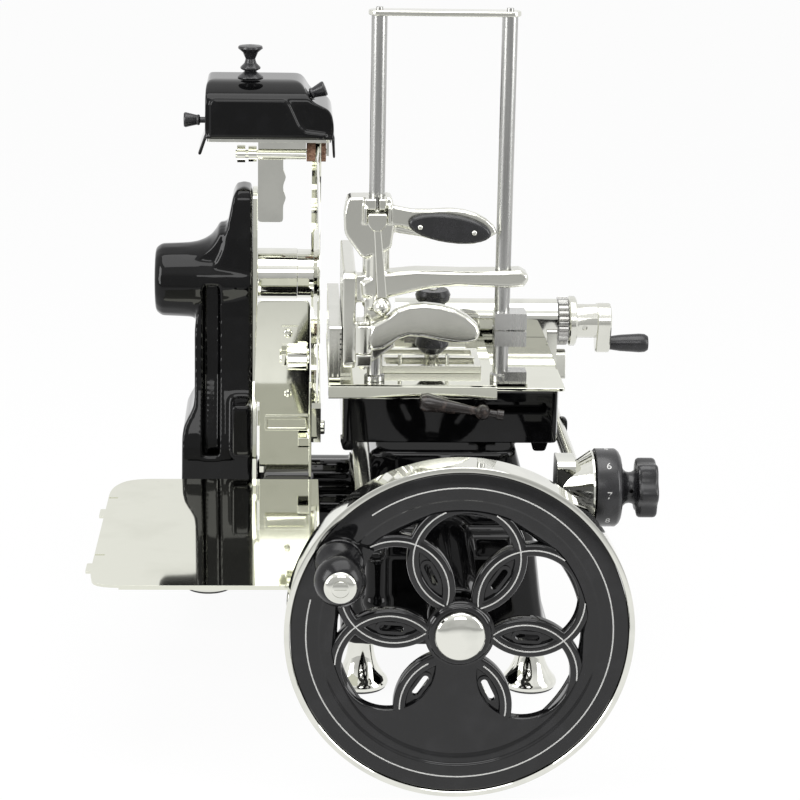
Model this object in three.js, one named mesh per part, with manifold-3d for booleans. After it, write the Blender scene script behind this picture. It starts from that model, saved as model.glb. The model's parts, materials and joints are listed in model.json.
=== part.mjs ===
// Hand crank flywheel meat slicer, modelled in millimetres with +Z up.
// X runs to the operator's right, Y runs away from the operator, Z is height above the bench.
// Sizes below are in the machine's own layout: X = 0 on the wheel's axis, Y = 0 just behind its face.

import * as THREE from 'three';
import { mergeVertices } from 'three/addons/utils/BufferGeometryUtils.js';
import Module from 'manifold-3d';

const wasm = await Module();
wasm.setup();

// Clearances
const FIT = 0.3; // between pieces that touch or turn on each other
const WALL = 8; // wall of the hollow castings
const DECK = 12; // thickness of the base's top

// Flywheel and hand crank
const AXLE_HEIGHT = 193;
const WHEEL_RADIUS = 186.8;
const WHEEL_FACE = -9; // the front edge of the bright rim
const RIM_DEPTH = 38;
const RIM_FACE_WIDTH = 6.3;
const DISC_FRONT = WHEEL_FACE + 2;
const DISC_DEPTH = 15;
const DISC_SUNK = 6; // how far the petals' web lies behind the face
const RING_INNER_RADIUS = 136;
const RING_FACE_RADIUS = 150; // inside this the ring steps back to the flower
const RING_STEP = 2;
const PETALS = 6;
const PETAL_CENTRE_RADIUS = 84;
const PETAL_STRIPE_RADIUS = 57;
const PETAL_BAND = 7;
const PETAL_TURN = -4; // degrees by which the flower is turned at rest
const LENS_SLOT_WIDTH = 7;
const LENS_SLOT_LENGTH = 26;
const HUB_RADIUS = 33;
const CAP_RADIUS = 27.2;
const WHEEL_SHAFT_RADIUS = 12;
const CRANK_RADIUS = 153.3;
const CRANK_ANGLE = 147.4;
const CRANK_BOSS_RADIUS = 26;
const GRIP_LENGTH = 74;
const GRIP_RADIUS = 27;
const SPINDLE_RADIUS = 6;
const SPINDLE_CAP_RADIUS = 17;

// Base casting, feet and shaft housing
const BASE_BOTTOM = 68;
const BASE_TOP = 302;
const BASE_REAR = 712;
const FOOT_RADIUS = 33.5;
const FOOT_NECK_RADIUS = 16;
const FOOT_FRONT_Y = 324;
const FOOT_REAR_Y = 668;
const FOOT_LEFT_X = -95;
const FOOT_RIGHT_X = 109;
const FOOT_COLUMN_X = -288;
const HOUSING_RADIUS = 32;
const HOUSING_FRONT = 46;
const HOUSING_REAR = 480;
const BUSH_WALL = 4;

// Drive: cross shaft, crank for the carriage, chain to the blade
const CROSS_Y = 556;
const CROSS_RADIUS = 9;
const GEAR_RADIUS = 37;
const GEAR_FACE = 16;
const GEAR_TEETH = 18;
const CARRIAGE_CRANK_RADIUS = 128;
const YOKE_AHEAD = 15;
const YOKE_BEHIND = 12.5; // less, so that it clears the base's rear corner
const CRANK_PIN_LEAD = 20; // how far the crank pin stands behind the cross shaft at rest
const CRANK_ARM_LEFT = 43;
const CRANK_ARM_RIGHT = 52;
const CHAIN_PITCH = 9.525;
const LOWER_TEETH = 18;
const UPPER_TEETH = 12;
const SPROCKET_X = -262;
const SPROCKET_WIDTH = 5;

// Blade and its column
const BLADE_Y = 600;
const BLADE_HEIGHT = 445;
const BLADE_RADIUS = 160;
const BLADE_X = -146;
const BLADE_THICKNESS = 3;
const BLADE_SHAFT_RADIUS = 11;
const BLADE_COLLAR_RADIUS = 32;
const COLUMN_LEFT = -301;
const COLUMN_RIGHT = -229;
const COLUMN_TOP = 560;
const COLUMN_COVER = 6;
const HUB_END = -351;
const HUB_CASTING_RADIUS = 46;
const HUB_DROP = 8.6; // how far the casting's boss sits below the blade's axis
const GUARD_RADIUS = 171;

// Slice tray
const TRAY_TOP = 214;
const TRAY_THICKNESS = 3;
const TRAY_LEFT = -401;
const TRAY_RIGHT = -146;
const TRAY_FRONT = 86;
const TRAY_REAR = 468;
const TRAY_CORNER = 30;

// Rails and carriage
const RAIL_X = -98;
const RAIL_HEIGHT = 297;
const RAIL_RADIUS = 10.5;
const CONTROL_ROD_X = 144;
const CONTROL_ROD_HEIGHT = 300;
const CONTROL_ROD_RADIUS = 7.8;
const CARRIAGE_LEFT = -120;
const CARRIAGE_RIGHT = 132;
const CARRIAGE_FRONT = 309;
const CARRIAGE_REAR = 598;
const CARRIAGE_BOTTOM = 310;
const CARRIAGE_TOP = 372.7;
const PLATE_THICKNESS = 4;
const ROLLER_RADIUS = 9;
const ROLLER_Y = 495;
const RAIL_LUG_FRONT = 300;
const LEVER_CENTRE = [42, 353];

// Meat table, fence and posts
const TABLE_THICKNESS = 4;
const TABLE_LEFT = -137;
const TABLE_RIGHT = 59;
const TABLE_FRONT = 303;
const TABLE_REAR = 545;
const APRON_HEIGHT = 16;
const FENCE_HEIGHT = 66;
const POST_RADIUS = 9;
const POST_LEFT_X = -83;
const POST_RIGHT_X = 64;
const POST_Y = 327;
const POST_TOP = 806;
const HANDLE_PIN = [-97, 299];
const LEVER_PIN = [302, 578];

// Feed screw behind the carriage
const SCREW_Y = 570;
const SCREW_HEIGHT = 393;
const SCREW_RADIUS = 6;
const SCREW_COVER_HALF_WIDTH = 22;
const SCREW_COVER_TOP = 421;
const SCREW_COVER_WALL = 3;
const SCREW_COVER_LEFT = -50;
const SCREW_COVER_RIGHT = 154;
const RATCHET_RADIUS = 30.5;
const RATCHET_TEETH = 26;
const HAND_CRANK_DROP = 28.5;
const NUT_LEFT = -40;
const NUT_RIGHT = -14;
const TABLE_TRAVEL = 88;

// Thickness dial
const DIAL_Y = 120;
const DIAL_HEIGHT = 317;
const DIAL_RADIUS = 43;
const DIAL_LEFT = 152.3;

// Sharpener on top of the column
const SHARPENER_BASE = 622;
const HOOD_LEFT = -287;
const HOOD_RIGHT = -129;
const HOOD_FRONT = 545;
const HOOD_REAR = 655;
const HOOD_TOP = 692.5;
const HOOD_WALL = 4;
const STONE_RADIUS = 13;
const STONE_CENTRE = [596, 602];

// Values worked out from the sizes above
const ROLLER_HEIGHT = BASE_TOP + ROLLER_RADIUS + FIT;
const YOKE_LEFT = CRANK_ARM_RIGHT + 7;
const YOKE_RIGHT = YOKE_LEFT + 10;
const PLATE_BOTTOM = CARRIAGE_TOP + FIT;
const PLATE_TOP = PLATE_BOTTOM + PLATE_THICKNESS;
const TABLE_BOTTOM = PLATE_TOP + FIT;
const TABLE_TOP = TABLE_BOTTOM + TABLE_THICKNESS;
const COVER_LEFT = COLUMN_RIGHT + FIT;
const COVER_RIGHT = COVER_LEFT + COLUMN_COVER;
const LOWER_PITCH_RADIUS = CHAIN_PITCH / (2 * Math.sin(Math.PI / LOWER_TEETH));
const UPPER_PITCH_RADIUS = CHAIN_PITCH / (2 * Math.sin(Math.PI / UPPER_TEETH));
const CRANK_PIN_Y = CROSS_Y + CRANK_PIN_LEAD;
const CRANK_PIN_Z = AXLE_HEIGHT + Math.sqrt(CARRIAGE_CRANK_RADIUS ** 2 - CRANK_PIN_LEAD ** 2);
const CRANK_X = CRANK_RADIUS * Math.cos(THREE.MathUtils.degToRad(CRANK_ANGLE));
const CRANK_Z = AXLE_HEIGHT + CRANK_RADIUS * Math.sin(THREE.MathUtils.degToRad(CRANK_ANGLE));

// Finishes seen in the photograph
const finish = (color, roughness, metalness) => new THREE.MeshStandardMaterial({ color, roughness, metalness });
const blackEnamel = finish(0x0b0b0c, 0.15, 0.0);
const blackPlastic = finish(0x17181a, 0.3, 0.0);
const chrome = finish(0xd9dad5, 0.08, 1.0);
const stainless = finish(0xcfd0c6, 0.15, 1.0);
const castAluminium = finish(0xc2c2bd, 0.25, 1.0);
const toolSteel = finish(0x8b8c8c, 0.35, 1.0);
const bronze = finish(0xa8824a, 0.4, 1.0);
const stone = finish(0x8c6a5a, 0.9, 0.0);
const darkLever = finish(0x2a2522, 0.35, 0.3);

// Turning a geometry into a closed solid and back
function solidOf(geometry) {
  const bare = geometry.clone();
  bare.deleteAttribute('normal');
  bare.deleteAttribute('uv');
  const merged = mergeVertices(bare, 1e-4);
  const corners = merged.index.array;
  const kept = [];
  for (let i = 0; i < corners.length; i += 3) {
    const [a, b, c] = [corners[i], corners[i + 1], corners[i + 2]];
    if (a !== b && b !== c && c !== a) kept.push(a, b, c);
  }
  const points = merged.attributes.position.array;
  if (signedVolume(points, kept) < 0) kept.reverse();
  const mesh = new wasm.Mesh({
    numProp: 3,
    vertProperties: new Float32Array(points),
    triVerts: new Uint32Array(kept),
  });
  return new wasm.Manifold(mesh);
}

function signedVolume(points, corners) {
  const corner = (i) => new THREE.Vector3(points[3 * i], points[3 * i + 1], points[3 * i + 2]);
  let volume = 0;
  for (let i = 0; i < corners.length; i += 3) {
    const [a, b, c] = [corner(corners[i]), corner(corners[i + 1]), corner(corners[i + 2])];
    volume += a.dot(b.cross(c)) / 6;
  }
  return volume;
}

function geometryOf(solid) {
  const mesh = solid.getMesh();
  const geometry = new THREE.BufferGeometry();
  geometry.setAttribute('position', new THREE.BufferAttribute(mesh.vertProperties, 3));
  geometry.setIndex(new THREE.BufferAttribute(mesh.triVerts, 1));
  geometry.computeVertexNormals();
  return geometry;
}

const join = (...solids) => solids.reduce((sum, next) => sum.add(next));
const cut = (solid, ...tools) => tools.reduce((left, tool) => left.subtract(tool), solid);

// Where a drawn shape or a turned profile points
const DRAWN = {
  x: new THREE.Matrix4().makeBasis(
    new THREE.Vector3(0, 1, 0), new THREE.Vector3(0, 0, 1), new THREE.Vector3(1, 0, 0)),
  y: new THREE.Matrix4().makeBasis(
    new THREE.Vector3(1, 0, 0), new THREE.Vector3(0, 0, 1), new THREE.Vector3(0, -1, 0)),
  z: new THREE.Matrix4(),
};
const TURNED = {
  x: new THREE.Matrix4().makeRotationZ(-Math.PI / 2),
  y: new THREE.Matrix4(),
  z: new THREE.Matrix4().makeRotationX(Math.PI / 2),
};
// The two in-plane coordinates of each axis, in the order that shapes and centres use
const along = {
  x: (distance, [y, z]) => [distance, y, z],
  y: (distance, [x, z]) => [x, distance, z],
  z: (distance, [x, y]) => [x, y, distance],
};

function block([x0, x1], [y0, y1], [z0, z1]) {
  const geometry = new THREE.BoxGeometry(x1 - x0, y1 - y0, z1 - z0);
  geometry.translate((x0 + x1) / 2, (y0 + y1) / 2, (z0 + z1) / 2);
  return solidOf(geometry);
}

// Pulls a flat shape along an axis, with an optional rounded or chamfered edge
function pull(axis, shape, from, to, edge = 0, curveSegments = 4, edgeSteps = 1) {
  const geometry = new THREE.ExtrudeGeometry(shape, {
    depth: to - from - 2 * edge,
    bevelEnabled: edge > 0,
    bevelThickness: edge,
    bevelSize: edge,
    bevelOffset: -edge,
    bevelSegments: edgeSteps,
    curveSegments,
  });
  geometry.applyMatrix4(DRAWN[axis]);
  const start = axis === 'y' ? to - edge : from + edge;
  geometry.translate(...along[axis](start, [0, 0]));
  return solidOf(geometry);
}

// Turns a profile of [radius, distance] pairs about an axis through the given centre
function turn(axis, centre, profile, segments = 18) {
  const points = profile.map(([radius, distance]) => new THREE.Vector2(radius, distance));
  const closed = points[0].x > 0 ? [...points, points[0].clone()] : points;
  const geometry = new THREE.LatheGeometry(closed, segments);
  geometry.applyMatrix4(TURNED[axis]);
  geometry.translate(...along[axis](0, centre));
  return solidOf(geometry);
}

const rod = (axis, centre, radius, from, to, segments = 14) =>
  turn(axis, centre, [[0, from], [radius, from], [radius, to], [0, to]], segments);

const tube = (axis, centre, outer, inner, from, to, segments = 18) =>
  turn(axis, centre, [[inner, from], [outer, from], [outer, to], [inner, to]], segments);

// A closed skin over rings that hold equally many points, from the first ring to the last
function loft(rings) {
  const count = rings[0].length;
  const points = rings.flat();
  const corners = [];
  for (let r = 0; r + 1 < rings.length; r += 1) {
    for (let i = 0; i < count; i += 1) {
      const a = r * count + i;
      const b = r * count + ((i + 1) % count);
      corners.push(a, b, b + count, a, b + count, a + count);
    }
  }
  const last = (rings.length - 1) * count;
  const middle = (ring) => ring.reduce((sum, p) => sum.add(p), new THREE.Vector3()).divideScalar(count);
  points.push(middle(rings[0]), middle(rings[rings.length - 1]));
  for (let i = 0; i < count; i += 1) {
    const next = (i + 1) % count;
    corners.push(points.length - 2, next, i);
    corners.push(points.length - 1, last + i, last + next);
  }
  const geometry = new THREE.BufferGeometry().setFromPoints(points);
  geometry.setIndex(corners);
  return solidOf(geometry);
}

// Flat shapes
const polygon = (points) => new THREE.Shape(points.map(([u, v]) => new THREE.Vector2(u, v)));

function roundedPolygon(points, radius) {
  const shape = new THREE.Shape();
  const vector = ([u, v]) => new THREE.Vector2(u, v);
  points.forEach((point, i) => {
    const here = vector(point);
    const before = vector(points[(i + points.length - 1) % points.length]);
    const after = vector(points[(i + 1) % points.length]);
    const reach = (end) => Math.min(radius, here.distanceTo(end) / 2.2);
    const enter = here.clone().lerp(before, reach(before) / here.distanceTo(before));
    const leave = here.clone().lerp(after, reach(after) / here.distanceTo(after));
    if (i === 0) shape.moveTo(enter.x, enter.y);
    else shape.lineTo(enter.x, enter.y);
    shape.quadraticCurveTo(here.x, here.y, leave.x, leave.y);
  });
  shape.closePath();
  return shape;
}

const roundedBox = ([u0, u1], [v0, v1], radius) =>
  roundedPolygon([[u0, v0], [u1, v0], [u1, v1], [u0, v1]], radius);

// The outline of a belt round two circles
function belt([u0, v0], r0, [u1, v1], r1) {
  const heading = Math.atan2(v1 - v0, u1 - u0);
  const spread = Math.acos((r0 - r1) / Math.hypot(u1 - u0, v1 - v0));
  const shape = new THREE.Shape();
  shape.absarc(u1, v1, r1, heading - spread, heading + spread, false);
  shape.absarc(u0, v0, r0, heading + spread, heading - spread + 2 * Math.PI, false);
  shape.closePath();
  return shape;
}

// A smooth closed outline through a few points
function smoothOutline(points, steps) {
  const curve = new THREE.CatmullRomCurve3(points.map(([u, v]) => new THREE.Vector3(u, v, 0)), true);
  return new THREE.Shape(curve.getPoints(steps).slice(0, -1).map((p) => new THREE.Vector2(p.x, p.y)));
}

// A toothed outline: straight teeth between a root and a tip radius
function toothed([u, v], teeth, root, tip, phase = 0) {
  const points = [];
  for (let i = 0; i < teeth; i += 1) {
    for (const [share, radius] of [[0, root], [0.35, tip], [0.75, tip]]) {
      const angle = phase + (2 * Math.PI * (i + share)) / teeth;
      points.push([u + radius * Math.cos(angle), v + radius * Math.sin(angle)]);
    }
  }
  return polygon(points);
}

// The assembly: each moving body is a group that stands at its joint
const machine = new THREE.Group();

function body(parent, [x, y, z]) {
  const group = new THREE.Group();
  group.userData.origin = new THREE.Vector3(x, y, z);
  const from = parent.userData.origin ?? new THREE.Vector3();
  group.position.copy(group.userData.origin).sub(from);
  parent.add(group);
  return group;
}

function piece(group, name, solid, material) {
  const geometry = geometryOf(solid);
  const origin = group.userData.origin ?? new THREE.Vector3();
  geometry.translate(-origin.x, -origin.y, -origin.z);
  const mesh = new THREE.Mesh(geometry, material);
  mesh.name = name;
  group.add(mesh);
}

// Flywheel: an open flower of six petals inside a ring
function flywheelDisc() {
  const face = DISC_FRONT;
  const back = DISC_FRONT + DISC_DEPTH;
  const bottomPetal = 4;
  const disc = ([u, v], radius, from, to, segments) =>
    rod('y', [u, AXLE_HEIGHT + v], radius, from, to, segments);
  const polar = (radius, degrees) => {
    const angle = THREE.MathUtils.degToRad(degrees);
    return [radius * Math.cos(angle), radius * Math.sin(angle)];
  };
  const outer = WHEEL_RADIUS - RIM_FACE_WIDTH - FIT;
  const web = face + RING_STEP;
  const ring = turn('y', [0, AXLE_HEIGHT], [
    [RING_INNER_RADIUS, web + 5], [RING_INNER_RADIUS + 5, web], [RING_FACE_RADIUS - 2, web],
    [RING_FACE_RADIUS, face], [outer, face], [outer, back + 4], [RING_INNER_RADIUS, back],
  ], 44);
  const centres = [];
  for (let k = 0; k < PETALS; k += 1) {
    centres.push(polar(PETAL_CENTRE_RADIUS, PETAL_TURN + 30 + (360 / PETALS) * k));
  }
  const band = PETAL_STRIPE_RADIUS + PETAL_BAND;
  const hollow = PETAL_STRIPE_RADIUS - PETAL_BAND;
  const hoops = centres.map((centre, k) => {
    const whole = disc(centre, band, web, back, 24);
    return k === bottomPetal ? whole : cut(whole, disc(centre, hollow, face - 1, back + 1, 24));
  });
  const lensOf = (k, from, to, radius) => disc(centres[k], radius, from, to, 24)
    .intersect(disc(centres[(k + 1) % PETALS], radius, from, to, 24));
  const sunken = centres.map((_, k) => lensOf(k, face - 1, back + 1, hollow));
  const webs = centres.map((_, k) => lensOf(k, face + DISC_SUNK, back - 3, hollow + 1));
  const wedgeAt = (radius, degrees) => {
    const [u, v] = polar(radius, PETAL_TURN + 30 + (360 / PETALS) * bottomPetal + degrees);
    return [u, AXLE_HEIGHT + v];
  };
  const field = cut(
    pull('y', polygon([wedgeAt(0, 0), wedgeAt(170, -46), wedgeAt(180, 0), wedgeAt(170, 46)]), web, back),
    disc(centres[bottomPetal - 1], hollow, face - 1, back + 1, 24),
    disc(centres[bottomPetal + 1], hollow, face - 1, back + 1, 24),
  );
  const slots = centres.map((_, k) => {
    const degrees = PETAL_TURN + 60 + (360 / PETALS) * k;
    const [u, v] = polar(PETAL_CENTRE_RADIUS * Math.cos(Math.PI / PETALS), degrees);
    const slot = pull('y', roundedBox([-LENS_SLOT_LENGTH / 2, LENS_SLOT_LENGTH / 2],
      [-LENS_SLOT_WIDTH / 2, LENS_SLOT_WIDTH / 2], LENS_SLOT_WIDTH / 2), face - 1, back + 1, 0, 2);
    return slot.rotate(0, -degrees, 0).translate(u, 0, AXLE_HEIGHT + v);
  });
  const flower = cut(join(...hoops, field), ...sunken);
  const hub = disc([0, 0], HUB_RADIUS, face - 3, back + 12, 24);
  const inside = disc([0, 0], RING_INNER_RADIUS + 1, face - 1, back + 1, 36);
  const whole = join(ring, join(flower, ...webs).intersect(inside), hub, crankBoss(face, back));
  const bore = disc([0, 0], WHEEL_SHAFT_RADIUS + FIT, face - 10, back + 30, 20);
  const spindleBore = rod('y', [CRANK_X, CRANK_Z], SPINDLE_RADIUS + FIT, face - 20, back + 20);
  return cut(whole, ...slots, bore, spindleBore);
}

// The raised seat of the crank handle, with flats that run out to the rim
function crankBoss(face, back) {
  const angle = THREE.MathUtils.degToRad(CRANK_ANGLE);
  const outer = WHEEL_RADIUS - RIM_FACE_WIDTH - FIT - 1;
  const corners = [[CRANK_RADIUS - 20, -30], [outer, -20], [outer, 20], [CRANK_RADIUS - 20, 30]];
  const turned = corners.map(([radial, side]) => [
    radial * Math.cos(angle) - side * Math.sin(angle),
    AXLE_HEIGHT + radial * Math.sin(angle) + side * Math.cos(angle),
  ]);
  const saddle = pull('y', roundedPolygon(turned, 4), face - 4, back, 2, 3);
  return saddle.add(rod('y', [CRANK_X, CRANK_Z], CRANK_BOSS_RADIUS, face - 6, back + 2, 24));
}

function flywheelRim() {
  const inner = WHEEL_RADIUS - RIM_FACE_WIDTH;
  return turn('y', [0, AXLE_HEIGHT], [
    [inner, WHEEL_FACE], [WHEEL_RADIUS - 2, WHEEL_FACE], [WHEEL_RADIUS, WHEEL_FACE + 2],
    [WHEEL_RADIUS, WHEEL_FACE + RIM_DEPTH], [inner, WHEEL_FACE + RIM_DEPTH],
  ], 56);
}

function flywheelCap() {
  const seat = DISC_FRONT - 3 - FIT;
  return turn('y', [0, AXLE_HEIGHT], [
    [0, seat], [CAP_RADIUS, seat], [CAP_RADIUS, seat - 3], [CAP_RADIUS - 2, seat - 5.5],
    [CAP_RADIUS * 0.6, seat - 8.5], [0, seat - 10],
  ], 24);
}

// A cone of straight bevel teeth about an axis, its apex at the crossing of the two shafts
function bevelTeeth(axis, apex, direction) {
  const half = THREE.MathUtils.degToRad(44.4);
  const ring = (distance) => {
    const points = [];
    for (let i = 0; i < GEAR_TEETH; i += 1) {
      for (const [share, depth] of [[0, 0.86], [0.3, 0.86], [0.45, 1], [0.85, 1]]) {
        const angle = (2 * Math.PI * (i + share)) / GEAR_TEETH;
        const radius = distance * Math.tan(half) * depth;
        const flat = [radius * Math.cos(angle), radius * Math.sin(angle)];
        points.push(new THREE.Vector3(...along[axis](direction * distance, flat)));
      }
    }
    return points;
  };
  const cone = loft([ring(GEAR_RADIUS - GEAR_FACE), ring(GEAR_RADIUS)]);
  return cone.translate(...apex);
}

function wheelShaft() {
  const centre = [0, AXLE_HEIGHT];
  const pinionEnd = CROSS_Y - GEAR_RADIUS;
  const bar = rod('y', centre, WHEEL_SHAFT_RADIUS, DISC_FRONT - 3, pinionEnd + GEAR_FACE - 2, 16);
  const collar = rod('y', centre, WHEEL_SHAFT_RADIUS + 9, pinionEnd - 10, pinionEnd + 1, 16);
  const pinion = bevelTeeth('y', [0, CROSS_Y, AXLE_HEIGHT], -1);
  return join(bar, collar, pinion);
}

function crankSpindle() {
  const centre = [CRANK_X, CRANK_Z];
  const start = DISC_FRONT - 6 - FIT;
  const end = start - GRIP_LENGTH - FIT;
  const bar = rod('y', centre, SPINDLE_RADIUS, end, DISC_FRONT + DISC_DEPTH + 6);
  const cap = turn('y', centre, [
    [0, end], [SPINDLE_CAP_RADIUS, end], [SPINDLE_CAP_RADIUS, end - 2], [SPINDLE_CAP_RADIUS - 3, end - 5],
    [9, end - 6], [9, end - 4.6], [8, end - 4.6], [8, end - 6.5], [0, end - 6.5],
  ], 20);
  const slot = block([CRANK_X - 7, CRANK_X + 7], [end - 9, end - 5.4], [CRANK_Z - 0.8, CRANK_Z + 0.8]);
  return join(bar, cut(cap, slot));
}

function crankGrip() {
  const start = DISC_FRONT - 6 - FIT;
  const bore = SPINDLE_RADIUS + FIT;
  const end = start - GRIP_LENGTH;
  const neck = GRIP_RADIUS * 0.62;
  const outline = new THREE.SplineCurve([
    new THREE.Vector2(GRIP_RADIUS, start - 5), new THREE.Vector2(neck + 3, start - 15),
    new THREE.Vector2(neck, start - 26), new THREE.Vector2(GRIP_RADIUS - 4, start - 42),
    new THREE.Vector2(GRIP_RADIUS, start - 56), new THREE.Vector2(GRIP_RADIUS - 4, start - 70),
    new THREE.Vector2(SPINDLE_CAP_RADIUS + 1, end),
  ]).getPoints(10).map((p) => [p.x, p.y]);
  return turn('y', [CRANK_X, CRANK_Z], [
    [bore, start], [GRIP_RADIUS - 1, start], ...outline, [bore, end],
  ], 18);
}

// Base: a bell-shaped casting, open below, with the wheel's long bearing and the arm to the column
function baseRing(height, [left, right], [front, rear], corner, inset = 0) {
  const shape = roundedBox([left + inset, right - inset], [front + inset, rear - inset], corner);
  return shape.getPoints(3).slice(0, -1).map((p) => new THREE.Vector3(p.x, p.y, height));
}

const BASE_SECTIONS = [
  [BASE_BOTTOM, [-120, 130], [280, BASE_REAR], 30],
  [BASE_BOTTOM + 12, [-120, 130], [280, BASE_REAR], 30],
  [BASE_BOTTOM + 20, [-113, 124], [285, BASE_REAR - 4], 30],
  [120, [-108, 119], [287, BASE_REAR - 4], 32],
  [200, [-99, 109], [290, BASE_REAR - 4], 32],
  [250, [-90, 99], [293, BASE_REAR - 4], 30],
  [280, [-84, 90], [296, BASE_REAR - 4], 26],
  [BASE_TOP, [-79, 84], [299, BASE_REAR - 4], 20],
];

function baseCasting() {
  const bell = loft(BASE_SECTIONS.map(([z, across, deep, corner]) => baseRing(z, across, deep, corner)));
  const hollowRings = BASE_SECTIONS.map(([z, across, deep, corner], i) => {
    const last = i === BASE_SECTIONS.length - 1;
    const height = i === 0 ? z - 1 : (last ? z - DECK : z);
    return baseRing(height, across, deep, corner, WALL);
  });
  const hollow = loft(hollowRings);
  const armFront = 505;
  const armRear = 700;
  const armTop = 180;
  const housing = rod('y', [0, AXLE_HEIGHT], HOUSING_RADIUS, HOUSING_FRONT, HOUSING_REAR, 24);
  const housingWeb = block([-WALL / 2, WALL / 2], [290, HOUSING_REAR], [AXLE_HEIGHT, BASE_TOP - DECK + 2]);
  const ledge = pull('x', polygon([[268, 182], [284, 178], [296, 214], [276, 206]]), -70, 80);
  const arm = pull('x', roundedBox([armFront, armRear], [BASE_BOTTOM, armTop], 20), COVER_RIGHT + FIT, -95, 0, 3);
  const armHollow = pull('x', roundedBox([armFront + WALL, armRear - WALL], [BASE_BOTTOM - 5, armTop - WALL], 14),
    COVER_RIGHT - 1, -90, 0, 3);
  const sleeve = rod('x', [CROSS_Y, AXLE_HEIGHT], 20, COVER_RIGHT + FIT, -42, 24);
  const pillar = join(rod('z', [-79, 284], 14, 90, 178), rod('z', [-79, 284], 17, 118, 126));
  const frontLug = pull('y', roundedPolygon([[RAIL_X - 15, RAIL_HEIGHT - 12], [RAIL_X, 240],
    [RAIL_X + 40, 230], [RAIL_X + 40, BASE_TOP - 6], [RAIL_X + 16, RAIL_HEIGHT + 2],
    [RAIL_X - 13, RAIL_HEIGHT + 2]], 4), RAIL_LUG_FRONT, RAIL_LUG_FRONT + 22, 0, 2);
  const rearLug = pull('y', roundedPolygon([[RAIL_X - 16, RAIL_HEIGHT - 12], [RAIL_X, 240],
    [RAIL_X + 40, 230], [RAIL_X + 40, BASE_TOP], [RAIL_X + 13, RAIL_HEIGHT + 11.5],
    [RAIL_X - 16, RAIL_HEIGHT + 11.5]], 4), BASE_REAR - 22, BASE_REAR - 4, 0, 2);
  const armHeight = CARRIAGE_BOTTOM - 12;
  const rodArm = (from, to) => pull('y', roundedPolygon([[60, 272],
    [CONTROL_ROD_X + 12, CONTROL_ROD_HEIGHT - 11], [CONTROL_ROD_X + 12, CONTROL_ROD_HEIGHT + 9],
    [CONTROL_ROD_X - 10, CONTROL_ROD_HEIGHT + 9], [CONTROL_ROD_X - 18, armHeight], [60, armHeight]], 4),
  from, to, 0, 2);
  const shelfTop = TRAY_TOP - TRAY_THICKNESS - FIT;
  const trayShelf = block([-215, -150], [430, armFront + WALL], [shelfTop - 12, shelfTop]);
  const trayRib = pull('x', polygon([[440, shelfTop - 8], [armFront + 4, shelfTop - 8], [armFront + 4, 120]]),
    -190, -178);
  const outside = join(bell, arm, sleeve, frontLug, rearLug, rodArm(416, 434), rodArm(640, 658),
    trayShelf, trayRib, pillar, ledge);
  const shelfNeck = block([-215, -150], [armFront, armFront + WALL], [armTop - 20, shelfTop]);
  const footPad = (from, to) => block([from, to], [FOOT_FRONT_Y - 14, FOOT_FRONT_Y + 14],
    [BASE_BOTTOM, BASE_BOTTOM + 9]);
  const inner = join(cut(outside, hollow, armHollow), housing, housingWeb, sleeve, shelfNeck,
    footPad(-114, -84), footPad(98, 124));
  const deckSlot = block([CRANK_ARM_LEFT - 3, YOKE_RIGHT + 2], [404, BASE_REAR - WALL - 5],
    [BASE_TOP - 20, BASE_TOP + 5]);
  const wheelBore = rod('y', [0, AXLE_HEIGHT], WHEEL_SHAFT_RADIUS + BUSH_WALL + FIT, 20, HOUSING_REAR + 10, 16);
  const crossBore = rod('x', [CROSS_Y, AXLE_HEIGHT], CROSS_RADIUS + FIT, -230, -20);
  const railBore = rod('y', [RAIL_X, RAIL_HEIGHT], RAIL_RADIUS + FIT, 200, 800);
  const controlBore = rod('y', [CONTROL_ROD_X, CONTROL_ROD_HEIGHT], CONTROL_ROD_RADIUS + FIT, 200, 700);
  return cut(inner, deckSlot, wheelBore, crossBore, railBore, controlBore);
}

function foot([x, y]) {
  const top = BASE_BOTTOM - FIT;
  return turn('z', [x, y], [
    [0, 0], [FOOT_RADIUS - 2, 0], [FOOT_RADIUS, 3], [FOOT_RADIUS - 0.5, 8], [FOOT_RADIUS - 4, 16],
    [FOOT_RADIUS - 9, 27], [FOOT_NECK_RADIUS + 2, 40], [FOOT_NECK_RADIUS, 50], [FOOT_NECK_RADIUS, top], [0, top],
  ], 16);
}

function wheelBush() {
  return tube('y', [0, AXLE_HEIGHT], WHEEL_SHAFT_RADIUS + BUSH_WALL, WHEEL_SHAFT_RADIUS + FIT,
    HOUSING_FRONT - 4, HOUSING_REAR + 4, 16);
}

const leftRail = () => rod('y', [RAIL_X, RAIL_HEIGHT], RAIL_RADIUS, 112, BASE_REAR + 6, 20);
const controlRod = () => rod('y', [CONTROL_ROD_X, CONTROL_ROD_HEIGHT], CONTROL_ROD_RADIUS, 91, 664, 16);

// Thickness block: a clamp on the control rod that carries the dial
function thicknessBlock() {
  const cone = turn('x', [DIAL_Y, DIAL_HEIGHT], [
    [0, 114], [16, 114], [20, 118], [38, 144], [41, 148], [41, 150], [38.5, 152], [0, 152],
  ], 20);
  const ear = pull('x', roundedBox([DIAL_Y - 18, DIAL_Y + 24], [CONTROL_ROD_HEIGHT - 14, DIAL_HEIGHT + 34], 8),
    110, 130);
  const stub = rod('x', [DIAL_Y, DIAL_HEIGHT], 12, 150, 178);
  const hole = rod('y', [CONTROL_ROD_X, CONTROL_ROD_HEIGHT], CONTROL_ROD_RADIUS + FIT, 40, 200);
  return cut(join(cone, ear, stub), hole);
}

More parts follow.
